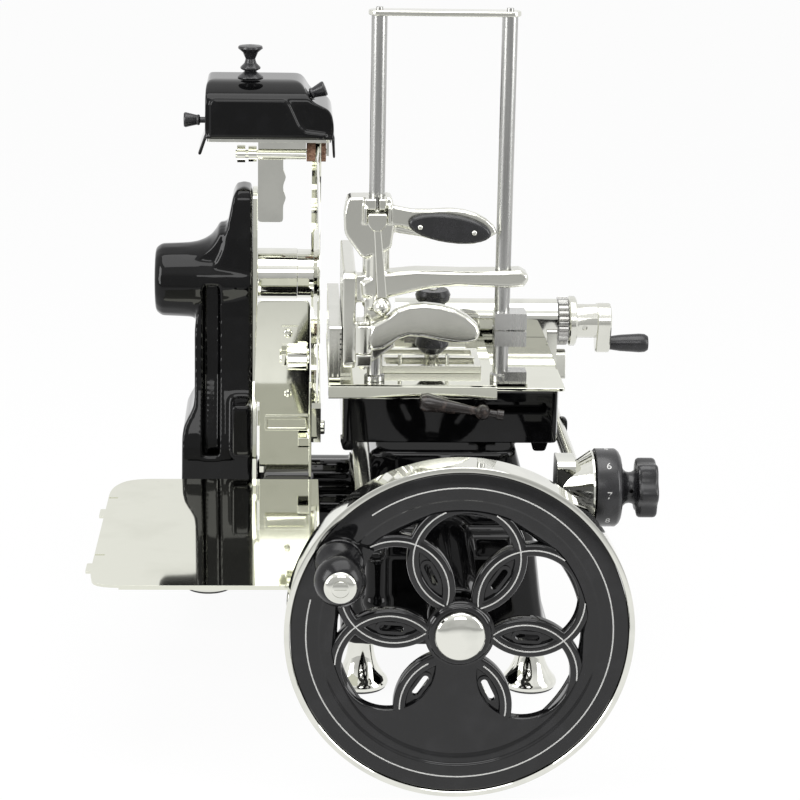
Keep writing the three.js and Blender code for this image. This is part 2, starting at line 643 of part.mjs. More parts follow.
function thicknessDial() {
  const centre = [DIAL_Y, DIAL_HEIGHT];
  const bore = 12 + FIT;
  const drum = turn('x', centre, [
    [bore, DIAL_LEFT], [DIAL_RADIUS, DIAL_LEFT], [DIAL_RADIUS, 176], [DIAL_RADIUS - 4, 180], [23, 183],
    [17, 188], [17, 193], [20, 200], [0, 200], [0, 178.5], [bore, 178.5],
  ], 20);
  const lobes = 6;
  const steps = 24;
  const outline = [];
  for (let i = 0; i < steps; i += 1) {
    const angle = (2 * Math.PI * i) / steps;
    const radius = 30.5 + 3 * Math.cos(lobes * angle);
    outline.push([DIAL_Y + radius * Math.cos(angle), DIAL_HEIGHT + radius * Math.sin(angle)]);
  }
  const star = pull('x', polygon(outline), 199, 221, 3);
  return join(drum, star);
}

// Column: carries the blade's bearing and holds the chain
function columnCasting() {
  const side = roundedPolygon([
    [500, BASE_BOTTOM], [703, BASE_BOTTOM], [703, BASE_BOTTOM + 9], [672, 110], [660, 250], [650, 400],
    [642, 480], [630, COLUMN_TOP], [570, COLUMN_TOP], [562, 500], [556, 400], [545, 320],
    [518, 240], [514, 110], [500, BASE_BOTTOM + 9],
  ], 14);
  const front = roundedPolygon([
    [FOOT_COLUMN_X - 36, BASE_BOTTOM], [COLUMN_RIGHT, BASE_BOTTOM], [COLUMN_RIGHT, COLUMN_TOP],
    [-251, COLUMN_TOP - 1], [-267, 478], [-290, 440], [COLUMN_LEFT, 390], [COLUMN_LEFT, 286],
    [COLUMN_LEFT - 15, 263], [COLUMN_LEFT - 16, 187], [COLUMN_LEFT - 20, 110],
  ], 12);
  const trunk = pull('x', side, COLUMN_LEFT - 40, COLUMN_RIGHT, 0, 2).intersect(
    pull('y', front, 480, 720, 0, 2));
  const hub = turn('x', [BLADE_Y, BLADE_HEIGHT - HUB_DROP], [
    [0, HUB_END], [HUB_CASTING_RADIUS - 6, HUB_END], [HUB_CASTING_RADIUS, HUB_END + 8],
    [HUB_CASTING_RADIUS + 2, COLUMN_LEFT + 8], [HUB_CASTING_RADIUS - 2, COLUMN_RIGHT], [0, COLUMN_RIGHT],
  ], 20);
  const chainRoom = pull('x', belt([CROSS_Y, AXLE_HEIGHT], LOWER_PITCH_RADIUS + 9,
    [BLADE_Y, BLADE_HEIGHT], UPPER_PITCH_RADIUS + 9), -285, COLUMN_RIGHT + 1, 0, 5);
  const shaftBore = rod('x', [BLADE_Y, BLADE_HEIGHT], BLADE_SHAFT_RADIUS + FIT, HUB_END + 14, -200);
  const crossBore = rod('x', [CROSS_Y, AXLE_HEIGHT], CROSS_RADIUS + FIT, -296, -200);
  const latchBox = pull('y', roundedBox([-254, COLUMN_RIGHT], [232, 300], 5), 497, 560, 2, 2);
  return cut(join(trunk, hub, latchBox), chainRoom, shaftBore, crossBore);
}

function columnCover() {
  const outline = roundedPolygon([
    [520, BASE_BOTTOM + 10], [690, BASE_BOTTOM + 10], [664, 115], [652, 250], [642, 400],
    [634, 480], [624, COLUMN_TOP - 6], [576, COLUMN_TOP - 6], [569, 500], [563, 400], [552, 325],
    [526, 245], [520, 115],
  ], 10);
  const sheet = pull('x', outline, COVER_LEFT, COVER_RIGHT, 0, 2);
  const shaftHole = rod('x', [BLADE_Y, BLADE_HEIGHT], BLADE_SHAFT_RADIUS + 2, -240, -200);
  const crossHole = rod('x', [CROSS_Y, AXLE_HEIGHT], CROSS_RADIUS + 2, -240, -200);
  return cut(sheet, shaftHole, crossHole);
}

function bladeCollar() {
  return tube('x', [BLADE_Y, BLADE_HEIGHT], BLADE_COLLAR_RADIUS, BLADE_SHAFT_RADIUS + FIT,
    COVER_RIGHT + FIT, -173, 28);
}

// Chain: one loop whose plates swell at each pitch
function driveChain() {
  const middle = belt([CROSS_Y, AXLE_HEIGHT], LOWER_PITCH_RADIUS, [BLADE_Y, BLADE_HEIGHT], UPPER_PITCH_RADIUS);
  const links = Math.round(middle.getLength() / CHAIN_PITCH);
  const steps = links;
  const path = middle.getSpacedPoints(steps);
  const side = (sign) => path.slice(0, -1).map((point, i) => {
    const before = path[(i + steps - 1) % steps];
    const after = path[(i + 1) % steps];
    const normal = new THREE.Vector2(after.y - before.y, before.x - after.x).normalize();
    const swell = i % 2 === 0 ? 3.4 : 2.6;
    return [point.x + sign * swell * normal.x, point.y + sign * swell * normal.y];
  });
  const outer = pull('x', polygon(side(1)), SPROCKET_X - 4, SPROCKET_X + 4);
  const inner = pull('x', polygon(side(-1)), SPROCKET_X - 6, SPROCKET_X + 6);
  return cut(outer, inner);
}

function sprocket(centre, pitchRadius, teeth, bore) {
  const wheel = pull('x', toothed(centre, teeth, pitchRadius - 5.4, pitchRadius - 4.4),
    SPROCKET_X - SPROCKET_WIDTH / 2, SPROCKET_X + SPROCKET_WIDTH / 2);
  const hub = rod('x', centre, bore + 2.4, SPROCKET_X - 8, SPROCKET_X + 12, 16);
  return cut(join(wheel, hub), rod('x', centre, bore + FIT, SPROCKET_X - 30, SPROCKET_X + 30));
}

// Blade: hollow ground disc with a bevelled edge
function blade() {
  const right = BLADE_X;
  const left = BLADE_X - BLADE_THICKNESS;
  return turn('x', [BLADE_Y, BLADE_HEIGHT], [
    [BLADE_SHAFT_RADIUS + FIT, left - 3], [52, left - 3], [58, left], [BLADE_RADIUS - 12, left],
    [BLADE_RADIUS, right - 0.6], [BLADE_RADIUS, right], [60, right - 0.8], [56, right - 3],
    [BLADE_SHAFT_RADIUS + FIT, right - 3],
  ], 40);
}

function bladeShaft() {
  const centre = [BLADE_Y, BLADE_HEIGHT];
  const collarEnd = -173 + FIT;
  const bladeBack = BLADE_X - BLADE_THICKNESS - 3 - FIT;
  return join(
    rod('x', centre, BLADE_SHAFT_RADIUS, HUB_END + 20, BLADE_X - 2, 14),
    rod('x', centre, BLADE_COLLAR_RADIUS - 1, collarEnd, bladeBack, 24),
    turn('x', centre, [[0, BLADE_X - 2.7], [30, BLADE_X - 2.7], [28, BLADE_X - 0.8], [0, BLADE_X + 2]], 24),
  );
}

// Ring guard round the back of the blade, with its bracket at the bottom
function bladeGuard() {
  const inner = GUARD_RADIUS - 7;
  const from = THREE.MathUtils.degToRad(-104);
  const to = THREE.MathUtils.degToRad(76);
  const shape = new THREE.Shape();
  shape.absarc(BLADE_Y, BLADE_HEIGHT, GUARD_RADIUS, from, to, false);
  shape.absarc(BLADE_Y, BLADE_HEIGHT, inner, to, from, true);
  shape.closePath();
  const ring = pull('x', shape, -154, -142, 0, 18);
  const strap = pull('x', roundedBox([560, 590], [234, 284], 5), -154, -142, 0, 3);
  const arm = block([COVER_RIGHT + FIT, -150], [566, 586], [254, 274]);
  const bolt = rod('x', [574, 250], 9, -172, -137, 6);
  return join(ring, strap, arm, bolt);
}

// Slice deflector: a plate that stands square to the blade
function deflectorPlate() {
  const bladeSide = BLADE_X - 11;
  const front = roundedPolygon([[-226, 304], [bladeSide, 304], [bladeSide, 434], [-221.5, 434]], 8);
  const sheet = pull('y', front, 499, 502, 0, 3);
  const chute = block([-219, bladeSide + 2.5], [499, 502], [TRAY_TOP - 1, 310]);
  const chuteEdge = block([bladeSide - 0.5, bladeSide + 2.5], [474, 502], [TRAY_TOP + 1, 330]);
  const channel = cut(block([-212, bladeSide - 2], [492, 499.5], [270, 288]),
    block([-209, bladeSide - 5], [490, 494], [273, 284]));
  const nut = rod('x', [490.5, 258], 9.5, -171, bladeSide, 6);
  const flange = pull('x', roundedBox([499, 590], [320, 392], 6), COVER_RIGHT + FIT, -219, 0, 3);
  const clamp = block([-192, -172], [494, 499.5], [380, 402]);
  const stud = rod('x', [484, 364], 5, -194, bladeSide - 1);
  const stalk = block([-192, -186], [478, 499.5], [357, 371]);
  return join(sheet, chute, chuteEdge, channel, nut, flange, clamp, stud, stalk);
}

function deflectorKnob() {
  const centre = [484, 364];
  const grooves = 8;
  const outline = [];
  for (let i = 0; i < grooves * 3; i += 1) {
    const angle = (2 * Math.PI * i) / (grooves * 3);
    const radius = 12.5 + 2 * Math.cos(grooves * angle);
    outline.push([centre[0] + radius * Math.cos(angle), centre[1] + radius * Math.sin(angle)]);
  }
  const grip = pull('x', polygon(outline), -185, -160, 1);
  return cut(grip, rod('x', centre, 5 + FIT, -200, -140, 16));
}

// Slice tray: bent sheet with a rolled front lip, two tabs and their slots
function sliceTray() {
  const bottom = TRAY_TOP - TRAY_THICKNESS;
  const left = pull('z', roundedPolygon([
    [TRAY_LEFT + 7, TRAY_FRONT], [TRAY_RIGHT - 20, TRAY_FRONT], [TRAY_RIGHT - 20, TRAY_REAR],
    [TRAY_LEFT + 24, TRAY_REAR], [TRAY_LEFT + 2, TRAY_REAR - 36], [TRAY_LEFT, TRAY_FRONT + 36],
  ], TRAY_CORNER), bottom, TRAY_TOP, 0, 5);
  const right = block([TRAY_RIGHT - 60, TRAY_RIGHT], [TRAY_FRONT, TRAY_REAR], [bottom, TRAY_TOP]);
  const sheet = join(left, right);
  const lip = rod('x', [TRAY_FRONT + 3, TRAY_TOP - 3], 3, TRAY_LEFT + 34, TRAY_RIGHT, 12);
  const tab = (y, x) => pull('z', roundedBox([x - 6, x + 8], [y - 13, y + 13], 2), bottom - 2, bottom + 1);
  const slot = (y, x) => block([x, x + 12], [y - 2, y + 2], [TRAY_TOP - 9, TRAY_TOP + 9]);
  return cut(join(sheet, lip, tab(342, TRAY_LEFT + 1), tab(150, TRAY_LEFT)),
    slot(392, TRAY_LEFT + 1), slot(186, TRAY_LEFT));
}

// Sharpener: frame on the column, a lift-off hood, two push buttons and two stones
function sharpenerFrame() {
  const plate = pull('y', roundedPolygon([[COVER_RIGHT + FIT, 514], [-191, 514], [-191, 536], [-187, 545],
    [-191, 554], [-191, 562], [-187, 571], [-191, 580], [-191, 606], [COVER_RIGHT + FIT, 606]], 4), 584, 598, 0, 2);
  const bar = rod('x', [585, 600], 7, -222, -163);
  const barEnd = rod('x', [585, 600], 11, -248, -238);
  const thumbNut = rod('x', [585, 600], 10, -234, -224);
  const barLink = rod('x', [585, 600], 5, -250, -215);
  const saddle = block([-222, -163], [575, 610], [608, SHARPENER_BASE]);
  const deck = pull('z', roundedBox([HOOD_LEFT + 2.7, HOOD_RIGHT - 3.6], [HOOD_FRONT + 2, HOOD_REAR - 2], 6),
    SHARPENER_BASE - 1, SHARPENER_BASE + 3 - FIT, 0, 3);
  const hanger = (from, to) => block([from, to], [585, 607], [598, SHARPENER_BASE]);
  const leftPin = rod('x', STONE_CENTRE, 3.5, -167, -152, 12);
  const rightPin = rod('x', STONE_CENTRE, 3.5, -144, -135, 12);
  return join(plate, bar, barEnd, thumbNut, barLink, saddle, deck, hanger(-167, -163.5), hanger(-137.5, -134.5),
    leftPin, rightPin);
}

function sharpeningStone(from, to) {
  return tube('x', STONE_CENTRE, STONE_RADIUS, 3.5 + FIT, from, to, 20);
}

function hoodOutline(inset) {
  const foot = SHARPENER_BASE + (inset ? -9 : 4);
  return roundedPolygon([
    [HOOD_LEFT + inset, foot], [HOOD_RIGHT - inset, foot], [HOOD_RIGHT - inset, 645 - inset / 2],
    [-133 - inset / 2, 661 - inset], [-157 - inset / 2, 672 - inset], [-166 - inset, 688 - inset / 2],
    [-174 - inset / 2, HOOD_TOP - inset], [HOOD_LEFT + 1 + inset, HOOD_TOP - inset],
  ], 8);
}

// The hood seen from the side: its roof falls towards the front
function hoodSide(inset) {
  const foot = SHARPENER_BASE + (inset ? -9 : 4);
  return roundedPolygon([
    [HOOD_FRONT + inset, foot], [HOOD_REAR - inset, foot], [HOOD_REAR - inset, HOOD_TOP - inset],
    [BLADE_Y - 20, HOOD_TOP - inset], [HOOD_FRONT + 16, HOOD_TOP - 7 - inset],
    [HOOD_FRONT + inset, HOOD_TOP - 15 - inset],
  ], 9);
}

function sharpenerHood() {
  const shell = pull('y', hoodOutline(0), HOOD_FRONT, HOOD_REAR, 0, 3)
    .intersect(pull('x', hoodSide(0), HOOD_LEFT - 5, HOOD_RIGHT + 5, 0, 3));
  const base = SHARPENER_BASE + 4;
  const room = pull('y', hoodOutline(HOOD_WALL), HOOD_FRONT + HOOD_WALL, HOOD_REAR - HOOD_WALL, 0, 2)
    .intersect(pull('x', hoodSide(HOOD_WALL), HOOD_LEFT - 5, HOOD_RIGHT + 5, 0, 2));
  const recess = pull('y', roundedPolygon([[HOOD_LEFT + 6, base + 3], [-136, base + 3], [-136, 631],
    [-166, 634], [-178, 655], [-186, 674], [HOOD_LEFT + 6, 674]], 5), HOOD_FRONT - 1, HOOD_FRONT + 2, 0, 2);
  const trim = pull('z', roundedBox([HOOD_LEFT - 1.5, HOOD_RIGHT + 1.5], [HOOD_FRONT - 1.5, HOOD_REAR + 1.5], 6),
    base - 1, base + 2.5, 0, 3);
  const leftLip = pull('y', polygon([[HOOD_LEFT - 1, base + 1], [HOOD_LEFT + 3, base + 1],
    [HOOD_LEFT - 5, 603], [HOOD_LEFT - 9, 605]]), HOOD_FRONT + 4, HOOD_REAR - 4);
  const rightLip = pull('y', polygon([[HOOD_RIGHT - 3, base + 1], [HOOD_RIGHT + 1, base + 1],
    [HOOD_RIGHT + 2, 601], [HOOD_RIGHT - 1, 601]]), HOOD_FRONT + 4, HOOD_REAR - 4);
  const below = block([HOOD_LEFT - 20, HOOD_RIGHT + 20], [HOOD_FRONT - 20, HOOD_REAR + 20], [590, base - 1]);
  const body = cut(join(cut(shell, recess, below), trim), room);
  const leftHole = rod('x', [590, 641], 4 + FIT, -300, -270);
  const stemHole = tilted(rod('x', [0, 0], 4 + FIT, -22, 0, 14), RIGHT_BUTTON);
  const notch = tilted(rod('x', [0, 0], 8.3, -3.2, 30, 18), RIGHT_BUTTON);
  return cut(join(body, leftLip, rightLip), leftHole, stemHole, notch);
}

// Where the right button passes through the hood's slope
const RIGHT_BUTTON = { x: -160, y: HOOD_FRONT + 25, z: 677, tilt: 22 };

function tilted(solid, { x, y, z, tilt }) {
  return solid.rotate(0, -tilt, 0).translate(x, y, z);
}

const BUTTON_PROFILE = [
  [0, -12], [3.8, -12], [3.8, 8], [6, 8.3], [7, 10], [6.2, 12], [9.5, 26], [8.5, 28], [0, 28.5],
];

function leftButton() {
  const profile = BUTTON_PROFILE.map(([radius, distance]) => [radius, HOOD_LEFT + 1 - distance]);
  return turn('x', [590, 641], profile, 16);
}

function rightButton() {
  return tilted(turn('x', [0, 0], BUTTON_PROFILE.map(([radius, distance]) => [radius, distance - 6]), 16),
    RIGHT_BUTTON);
}

function hoodKnob() {
  const seat = HOOD_TOP + FIT;
  return turn('z', [-232, 600], [
    [0, seat], [16, seat], [15.5, seat + 1.5], [7, seat + 8], [12.5, seat + 11], [12.5, seat + 13],
    [7.5, seat + 18], [6, seat + 23], [9.5, seat + 31], [15.5, seat + 36], [14.5, seat + 39], [0, seat + 41],
  ], 16);
}

// Carriage: a hollow box on the rail, a roller at its right, and the yoke that the crank pin drives
function carriageBody() {
  const box = pull('z', roundedBox([CARRIAGE_LEFT, CARRIAGE_RIGHT], [CARRIAGE_FRONT, CARRIAGE_REAR], 8),
    CARRIAGE_BOTTOM, CARRIAGE_TOP, 1.5, 2);
  const room = block([CARRIAGE_LEFT + WALL, CARRIAGE_RIGHT - WALL], [CARRIAGE_FRONT + WALL, CARRIAGE_REAR + 5],
    [CARRIAGE_BOTTOM - 5, CARRIAGE_TOP - 7]);
  const front = pull('y', roundedBox([46, 118], [345, 360], 5), CARRIAGE_FRONT - 5, CARRIAGE_FRONT + WALL + 5, 0, 2);
  const bush = (from, to) => pull('y', roundedBox([RAIL_X - 16, RAIL_X + 13],
    [RAIL_HEIGHT - 14, CARRIAGE_BOTTOM + 12], 5), from, to, 0, 2);
  const footBump = (x) => pull('y', roundedPolygon([[x - 11, CARRIAGE_BOTTOM + 4], [x - 7, CARRIAGE_BOTTOM - 10],
    [x + 7, CARRIAGE_BOTTOM - 10], [x + 11, CARRIAGE_BOTTOM + 4]], 3), CARRIAGE_FRONT + 2, CARRIAGE_FRONT + 20, 0, 2);
  const axlePost = block([98, 104], [ROLLER_Y - 10, ROLLER_Y + 10], [ROLLER_HEIGHT - 6, CARRIAGE_TOP - 4]);
  const railHole = rod('y', [RAIL_X, RAIL_HEIGHT], RAIL_RADIUS + FIT, 300, 700);
  const axleHole = rod('x', [ROLLER_Y, ROLLER_HEIGHT], 3 + FIT, 70, 120, 12);
  const leverHole = rod('y', LEVER_CENTRE, 5 + FIT, CARRIAGE_FRONT - 5, CARRIAGE_FRONT + 20);
  const shell = join(cut(box, room), bush(474, 498), bush(534, 558), footBump(-112), footBump(111), axlePost);
  return cut(shell, front, railHole, axleHole, leverHole);
}

function carriagePlate() {
  return pull('z', roundedBox([CARRIAGE_LEFT + 2, 139], [CARRIAGE_FRONT, CARRIAGE_REAR + 2], 4),
    PLATE_BOTTOM, PLATE_TOP, 0, 3);
}

function carriageRoller() {
  const centre = [ROLLER_Y, ROLLER_HEIGHT];
  return join(rod('x', centre, ROLLER_RADIUS, 74, 82, 20), rod('x', centre, 3, 80, 106, 12));
}

function crankYoke() {
  const top = CARRIAGE_TOP - 7 - FIT;
  const bottom = AXLE_HEIGHT - CARRIAGE_CRANK_RADIUS - 14;
  const deep = [CRANK_PIN_Y - YOKE_AHEAD, CRANK_PIN_Y + YOKE_BEHIND];
  const bar = pull('x', roundedBox(deep, [bottom, top], 6), YOKE_LEFT, YOKE_RIGHT, 0, 3);
  const slot = pull('x', roundedBox([CRANK_PIN_Y - 7.5, CRANK_PIN_Y + 7.5], [bottom + 6, CRANK_PIN_Z + 12], 7),
    YOKE_LEFT - 2, YOKE_RIGHT + 2, 0, 3);
  const flange = block([YOKE_LEFT - 12, YOKE_RIGHT + 12], deep, [top - 7, top]);
  return cut(join(bar, flange), slot);
}

function crankArm() {
  const web = pull('x', belt([CROSS_Y, AXLE_HEIGHT], 18, [CRANK_PIN_Y, CRANK_PIN_Z], 11),
    CRANK_ARM_LEFT, CRANK_ARM_RIGHT, 0, 5);
  const pin = rod('x', [CRANK_PIN_Y, CRANK_PIN_Z], 7, CRANK_ARM_RIGHT - 2, YOKE_LEFT - 1);
  return cut(join(web, pin), rod('x', [CROSS_Y, AXLE_HEIGHT], CROSS_RADIUS + FIT, 0, 80));
}

function crossShaft() {
  return rod('x', [CROSS_Y, AXLE_HEIGHT], CROSS_RADIUS, SPROCKET_X - 28, CRANK_ARM_RIGHT + 2, 14);
}

function bevelGear() {
  const cone = bevelTeeth('x', [0, CROSS_Y, AXLE_HEIGHT], 1);
  const hub = rod('x', [CROSS_Y, AXLE_HEIGHT], 18, GEAR_RADIUS - 1, CRANK_ARM_LEFT - 0.5, 14);
  return cut(join(cone, hub), rod('x', [CROSS_Y, AXLE_HEIGHT], CROSS_RADIUS + FIT, 0, 100));
}

// Feed screw: its open-bottomed cover behind the carriage, the screw with its ratchet wheel, a small crank
function screwCoverOutline(inset) {
  const half = SCREW_COVER_HALF_WIDTH - inset;
  const top = SCREW_COVER_TOP - inset;
  const shape = new THREE.Shape();
  const floor = PLATE_TOP + FIT - (inset > 0 ? 5 : 0);
  shape.moveTo(SCREW_Y - half, floor);
  shape.lineTo(SCREW_Y + half, floor);
  shape.absarc(SCREW_Y, top - half, half, 0, Math.PI, false);
  shape.closePath();
  return shape;
}

function screwCover() {
  const shell = pull('x', screwCoverOutline(0), SCREW_COVER_LEFT, SCREW_COVER_RIGHT, 0, 10);
  const room = pull('x', screwCoverOutline(SCREW_COVER_WALL), SCREW_COVER_LEFT + 4, SCREW_COVER_RIGHT - 4, 0, 10);
  const bore = rod('x', [SCREW_Y, SCREW_HEIGHT], SCREW_RADIUS + FIT, -100, 200);
  const slot = block([NUT_LEFT - 5, NUT_RIGHT + TABLE_TRAVEL + 3], [SCREW_Y - 40, SCREW_Y - 10],
    [TABLE_TOP - 0.8, TABLE_TOP + 6]);
  const overBracket = block([140.7, 160], [SCREW_Y - 40, SCREW_Y + 40], [370, 387.3]);
  return cut(shell, room, bore, slot, overBracket);
}

function feedBracket() {
  const plate = pull('x', roundedPolygon([[546, 316], [590, 316], [594, 387], [546, 387]], 5), 141, 153.6, 0, 3);
  const foot = block([CARRIAGE_RIGHT + FIT, 143], [548, 590], [320, 366]);
  const pawl = pull('x', roundedPolygon([[548, 322], [566, 322], [574, 336], [568, 358], [556, 356]], 4),
    152, 166, 0, 3);
  return cut(join(plate, foot, pawl), rod('x', [SCREW_Y, SCREW_HEIGHT], SCREW_RADIUS + 4, 100, 200, 24));
}

function feedScrew() {
  const centre = [SCREW_Y, SCREW_HEIGHT];
  const start = SCREW_COVER_RIGHT;
  const bar = rod('x', centre, SCREW_RADIUS, SCREW_COVER_LEFT - 2, start + 14, 16);
  const wheel = pull('x', toothed(centre, RATCHET_TEETH, RATCHET_RADIUS - 2.5, RATCHET_RADIUS),
    start + 1.5, start + 13);
  return join(bar, wheel);
}

function feedCrank() {
  const centre = [SCREW_Y, SCREW_HEIGHT];
  const left = SCREW_COVER_RIGHT + 14.5;
  const disc = turn('x', centre, [[0, left], [RATCHET_RADIUS - 1, left], [RATCHET_RADIUS + 1, left + 2],
    [RATCHET_RADIUS + 1, left + 8], [RATCHET_RADIUS - 1, left + 10], [0, left + 10]], 20);
  const armLeft = left + 36;
  const hub = rod('x', centre, 21.5, left + 9, armLeft + 1, 16);
  const grip = [SCREW_Y, SCREW_HEIGHT - HAND_CRANK_DROP];
  const arm = pull('x', belt(centre, 23, grip, 12), armLeft, armLeft + 18, 1.5, 5);
  const pin = rod('x', grip, 4, armLeft + 17, armLeft + 64, 12);
  const bore = rod('x', centre, SCREW_RADIUS + FIT, left - 5, SCREW_COVER_RIGHT + 14 + FIT);
  const setScrew = rod('y', [left + 20, SCREW_HEIGHT - 4], 3.5, SCREW_Y - 40, SCREW_Y - 17, 12);
  return cut(join(disc, hub, arm, pin), bore, setScrew);
}

function feedCrankGrip() {
  const start = SCREW_COVER_RIGHT + 14.5 + 54 + FIT;
  const bore = 4 + FIT;
  return turn('x', [SCREW_Y, SCREW_HEIGHT - HAND_CRANK_DROP], [
    [bore, start], [8.5, start], [10.5, start + 14], [12, start + 38], [11.5, start + 45], [9, start + 49],
    [0, start + 49], [0, start + 47], [bore, start + 47],
  ], 20);
}

// Clamp lever on the carriage's front
function clampLever() {
  const [x, z] = LEVER_CENTRE;
  const y = 291;
  const shank = rod('y', LEVER_CENTRE, 5, y - 5, CARRIAGE_FRONT + 12, 12);
  const ball = turn('y', LEVER_CENTRE, [[0, y - 10], [6, y - 8], [9, y - 3], [9, y + 3], [6, y + 8], [0, y + 10]], 12);
  const handle = turn('x', [0, 0], [[0, -74], [8, -73], [10.5, -66], [9, -56], [4.5, -6], [4.5, 16], [6, 16.5],
    [6, 24], [0, 24]], 16).rotate(0, 9, 0).translate(x, y, z);
  return join(shank, ball, handle);
}

// Table: a thin plate with an apron, the fence beside the blade, and the nut that the screw drives
function meatTable() {
  const sheet = pull('z', roundedBox([TABLE_LEFT, TABLE_RIGHT], [TABLE_FRONT, TABLE_REAR], 3),
    TABLE_BOTTOM, TABLE_TOP, 0, 3);
  const tab = block([TABLE_RIGHT - 20, 95], [POST_Y - 15, POST_Y + 17], [TABLE_BOTTOM, TABLE_TOP]);
  const apron = pull('y', roundedPolygon([[TABLE_LEFT, TABLE_TOP - 1], [TABLE_RIGHT, TABLE_TOP - 1],
    [TABLE_RIGHT, TABLE_TOP - APRON_HEIGHT], [TABLE_LEFT, TABLE_TOP - APRON_HEIGHT]], 4),
  TABLE_FRONT, TABLE_FRONT + 3);
  const lip = rod('x', [TABLE_FRONT + 2.5, TABLE_TOP - 2], 2.5, TABLE_LEFT + 1, TABLE_RIGHT - 1, 12);
  const postHole = (x) => rod('z', [x, POST_Y], POST_RADIUS - 2 + FIT, TABLE_BOTTOM - 5, TABLE_TOP + 5, 20);
  return cut(join(sheet, tab, apron, lip), postHole(POST_LEFT_X), postHole(POST_RIGHT_X));
}

function feedNut() {
  const centre = [SCREW_Y, SCREW_HEIGHT];
  const lap = TABLE_TOP + FIT;
  const nut = rod('x', centre, 14, NUT_LEFT, NUT_RIGHT, 20);
  const arm = block([NUT_LEFT, NUT_RIGHT], [TABLE_REAR - 30, SCREW_Y - 8], [lap, lap + 4]);
  return cut(join(nut, arm), rod('x', centre, SCREW_RADIUS + FIT, -100, 100));
}

function fence() {
  const left = TABLE_LEFT + 1;
  const right = left + 14;
  const base = TABLE_TOP + FIT;
  const slab = pull('x', roundedBox([316, 540], [base, base + FENCE_HEIGHT], 5), left, right, 0, 3);
  const grooves = [];
  for (let i = 0; i < 9; i += 1) {
    const z = base + 8 + i * 6;
    grooves.push(block([right - 2, right + 2], [310, 545], [z, z + 2]));
  }
  const frontSlots = [0, 1].map((i) => block([left + 3 + i * 6, left + 5 + i * 6], [314, 322],
    [base + 6, base + FENCE_HEIGHT - 6]));
  const foot = block([right - 1, right + 12], [330, 520], [base, base + 4]);
  const postClear = block([right - 1, POST_LEFT_X + 14], [POST_Y - 14, POST_Y + 14], [base - 1, base + 20]);
  return cut(cut(join(slab, foot), ...grooves.slice(1), ...frontSlots), postClear);
}

function postLeft() {
  const centre = [POST_LEFT_X, POST_Y];
  return turn('z', centre, [
    [0, TABLE_BOTTOM], [POST_RADIUS - 2, TABLE_BOTTOM], [POST_RADIUS - 2, TABLE_TOP + FIT],
    [POST_RADIUS + 3, TABLE_TOP + FIT], [POST_RADIUS + 3, TABLE_TOP + 6], [POST_RADIUS, TABLE_TOP + 8],
    [POST_RADIUS, POST_TOP - FIT], [4, POST_TOP - FIT], [4, POST_TOP + 9], [0, POST_TOP + 9],
  ], 16);
}

function postRight() {
  const centre = [POST_RIGHT_X, POST_Y];
  const bar = turn('z', centre, [
    [0, TABLE_BOTTOM], [POST_RADIUS - 2, TABLE_BOTTOM], [POST_RADIUS - 2, TABLE_TOP + FIT],
    [POST_RADIUS + 3, TABLE_TOP + FIT], [POST_RADIUS + 3, TABLE_TOP + 8], [POST_RADIUS, TABLE_TOP + 10],
    [POST_RADIUS, POST_TOP - FIT], [4, POST_TOP - FIT], [4, POST_TOP + 9], [0, POST_TOP + 9],
  ], 16);
  const foot = block([POST_RIGHT_X + 4, 94], [POST_Y - 11, POST_Y + 11], [TABLE_TOP + FIT, TABLE_TOP + 13]);
  const clampBlock = (from, to) => block([55, 92], [POST_Y - 15, POST_Y + 17], [from, to]);
  const seam = rod('z', [80, POST_Y], 3, 438, 452, 12);
  return join(bar, foot, clampBlock(426, 444), clampBlock(446, 465), seam);
}

function topBar() {
  const half = 12.5;
  const ends = [POST_LEFT_X, POST_RIGHT_X];
  const strip = pull('z', belt([ends[0], POST_Y], half, [ends[1], POST_Y], half - 0.01),
    POST_TOP, POST_TOP + 6, 1, 6);
  const holes = ends.map((x) => rod('z', [x, POST_Y], 4 + FIT, POST_TOP - 5, POST_TOP + 20, 12));
  return cut(strip, ...holes);
}

// Frame that grips the meat, with its two pins, and the spool knob that screws it down
function gripFrame() {
  const base = TABLE_TOP + FIT;
  const outer = block([-76, 44], [356, 440], [base, base + 9]);
  const inner = block([-68, 36], [364, 432], [base + 3, base + 20]);
  const window1 = block([-62, 30], [372, 424], [base - 5, base + 20]);
  const bridge = block([-70, 38], [384, 394], [base, base + 12]);
  const pins = [-52, 4].map((x) => rod('z', [x, 360], 2.5, base + 1, base + 22, 8));
  const boss = rod('z', [-13, 389], 9, base + 1, base + 16, 14);
  const stem = rod('z', [-13, 389], 5, base + 1, base + 95, 10);
  return join(cut(outer, inner, window1), bridge, ...pins, boss, stem);
}

function frameKnob() {
  const base = TABLE_TOP + FIT + 18;
  return turn('z', [-13, 389], [
    [5 + FIT, base], [13, base], [20, base + 8], [19, base + 16], [10, base + 28], [7.5, base + 40],
    [9, base + 52], [20, base + 64], [21, base + 70], [18, base + 76], [5 + FIT, base + 76],
  ], 16);
}

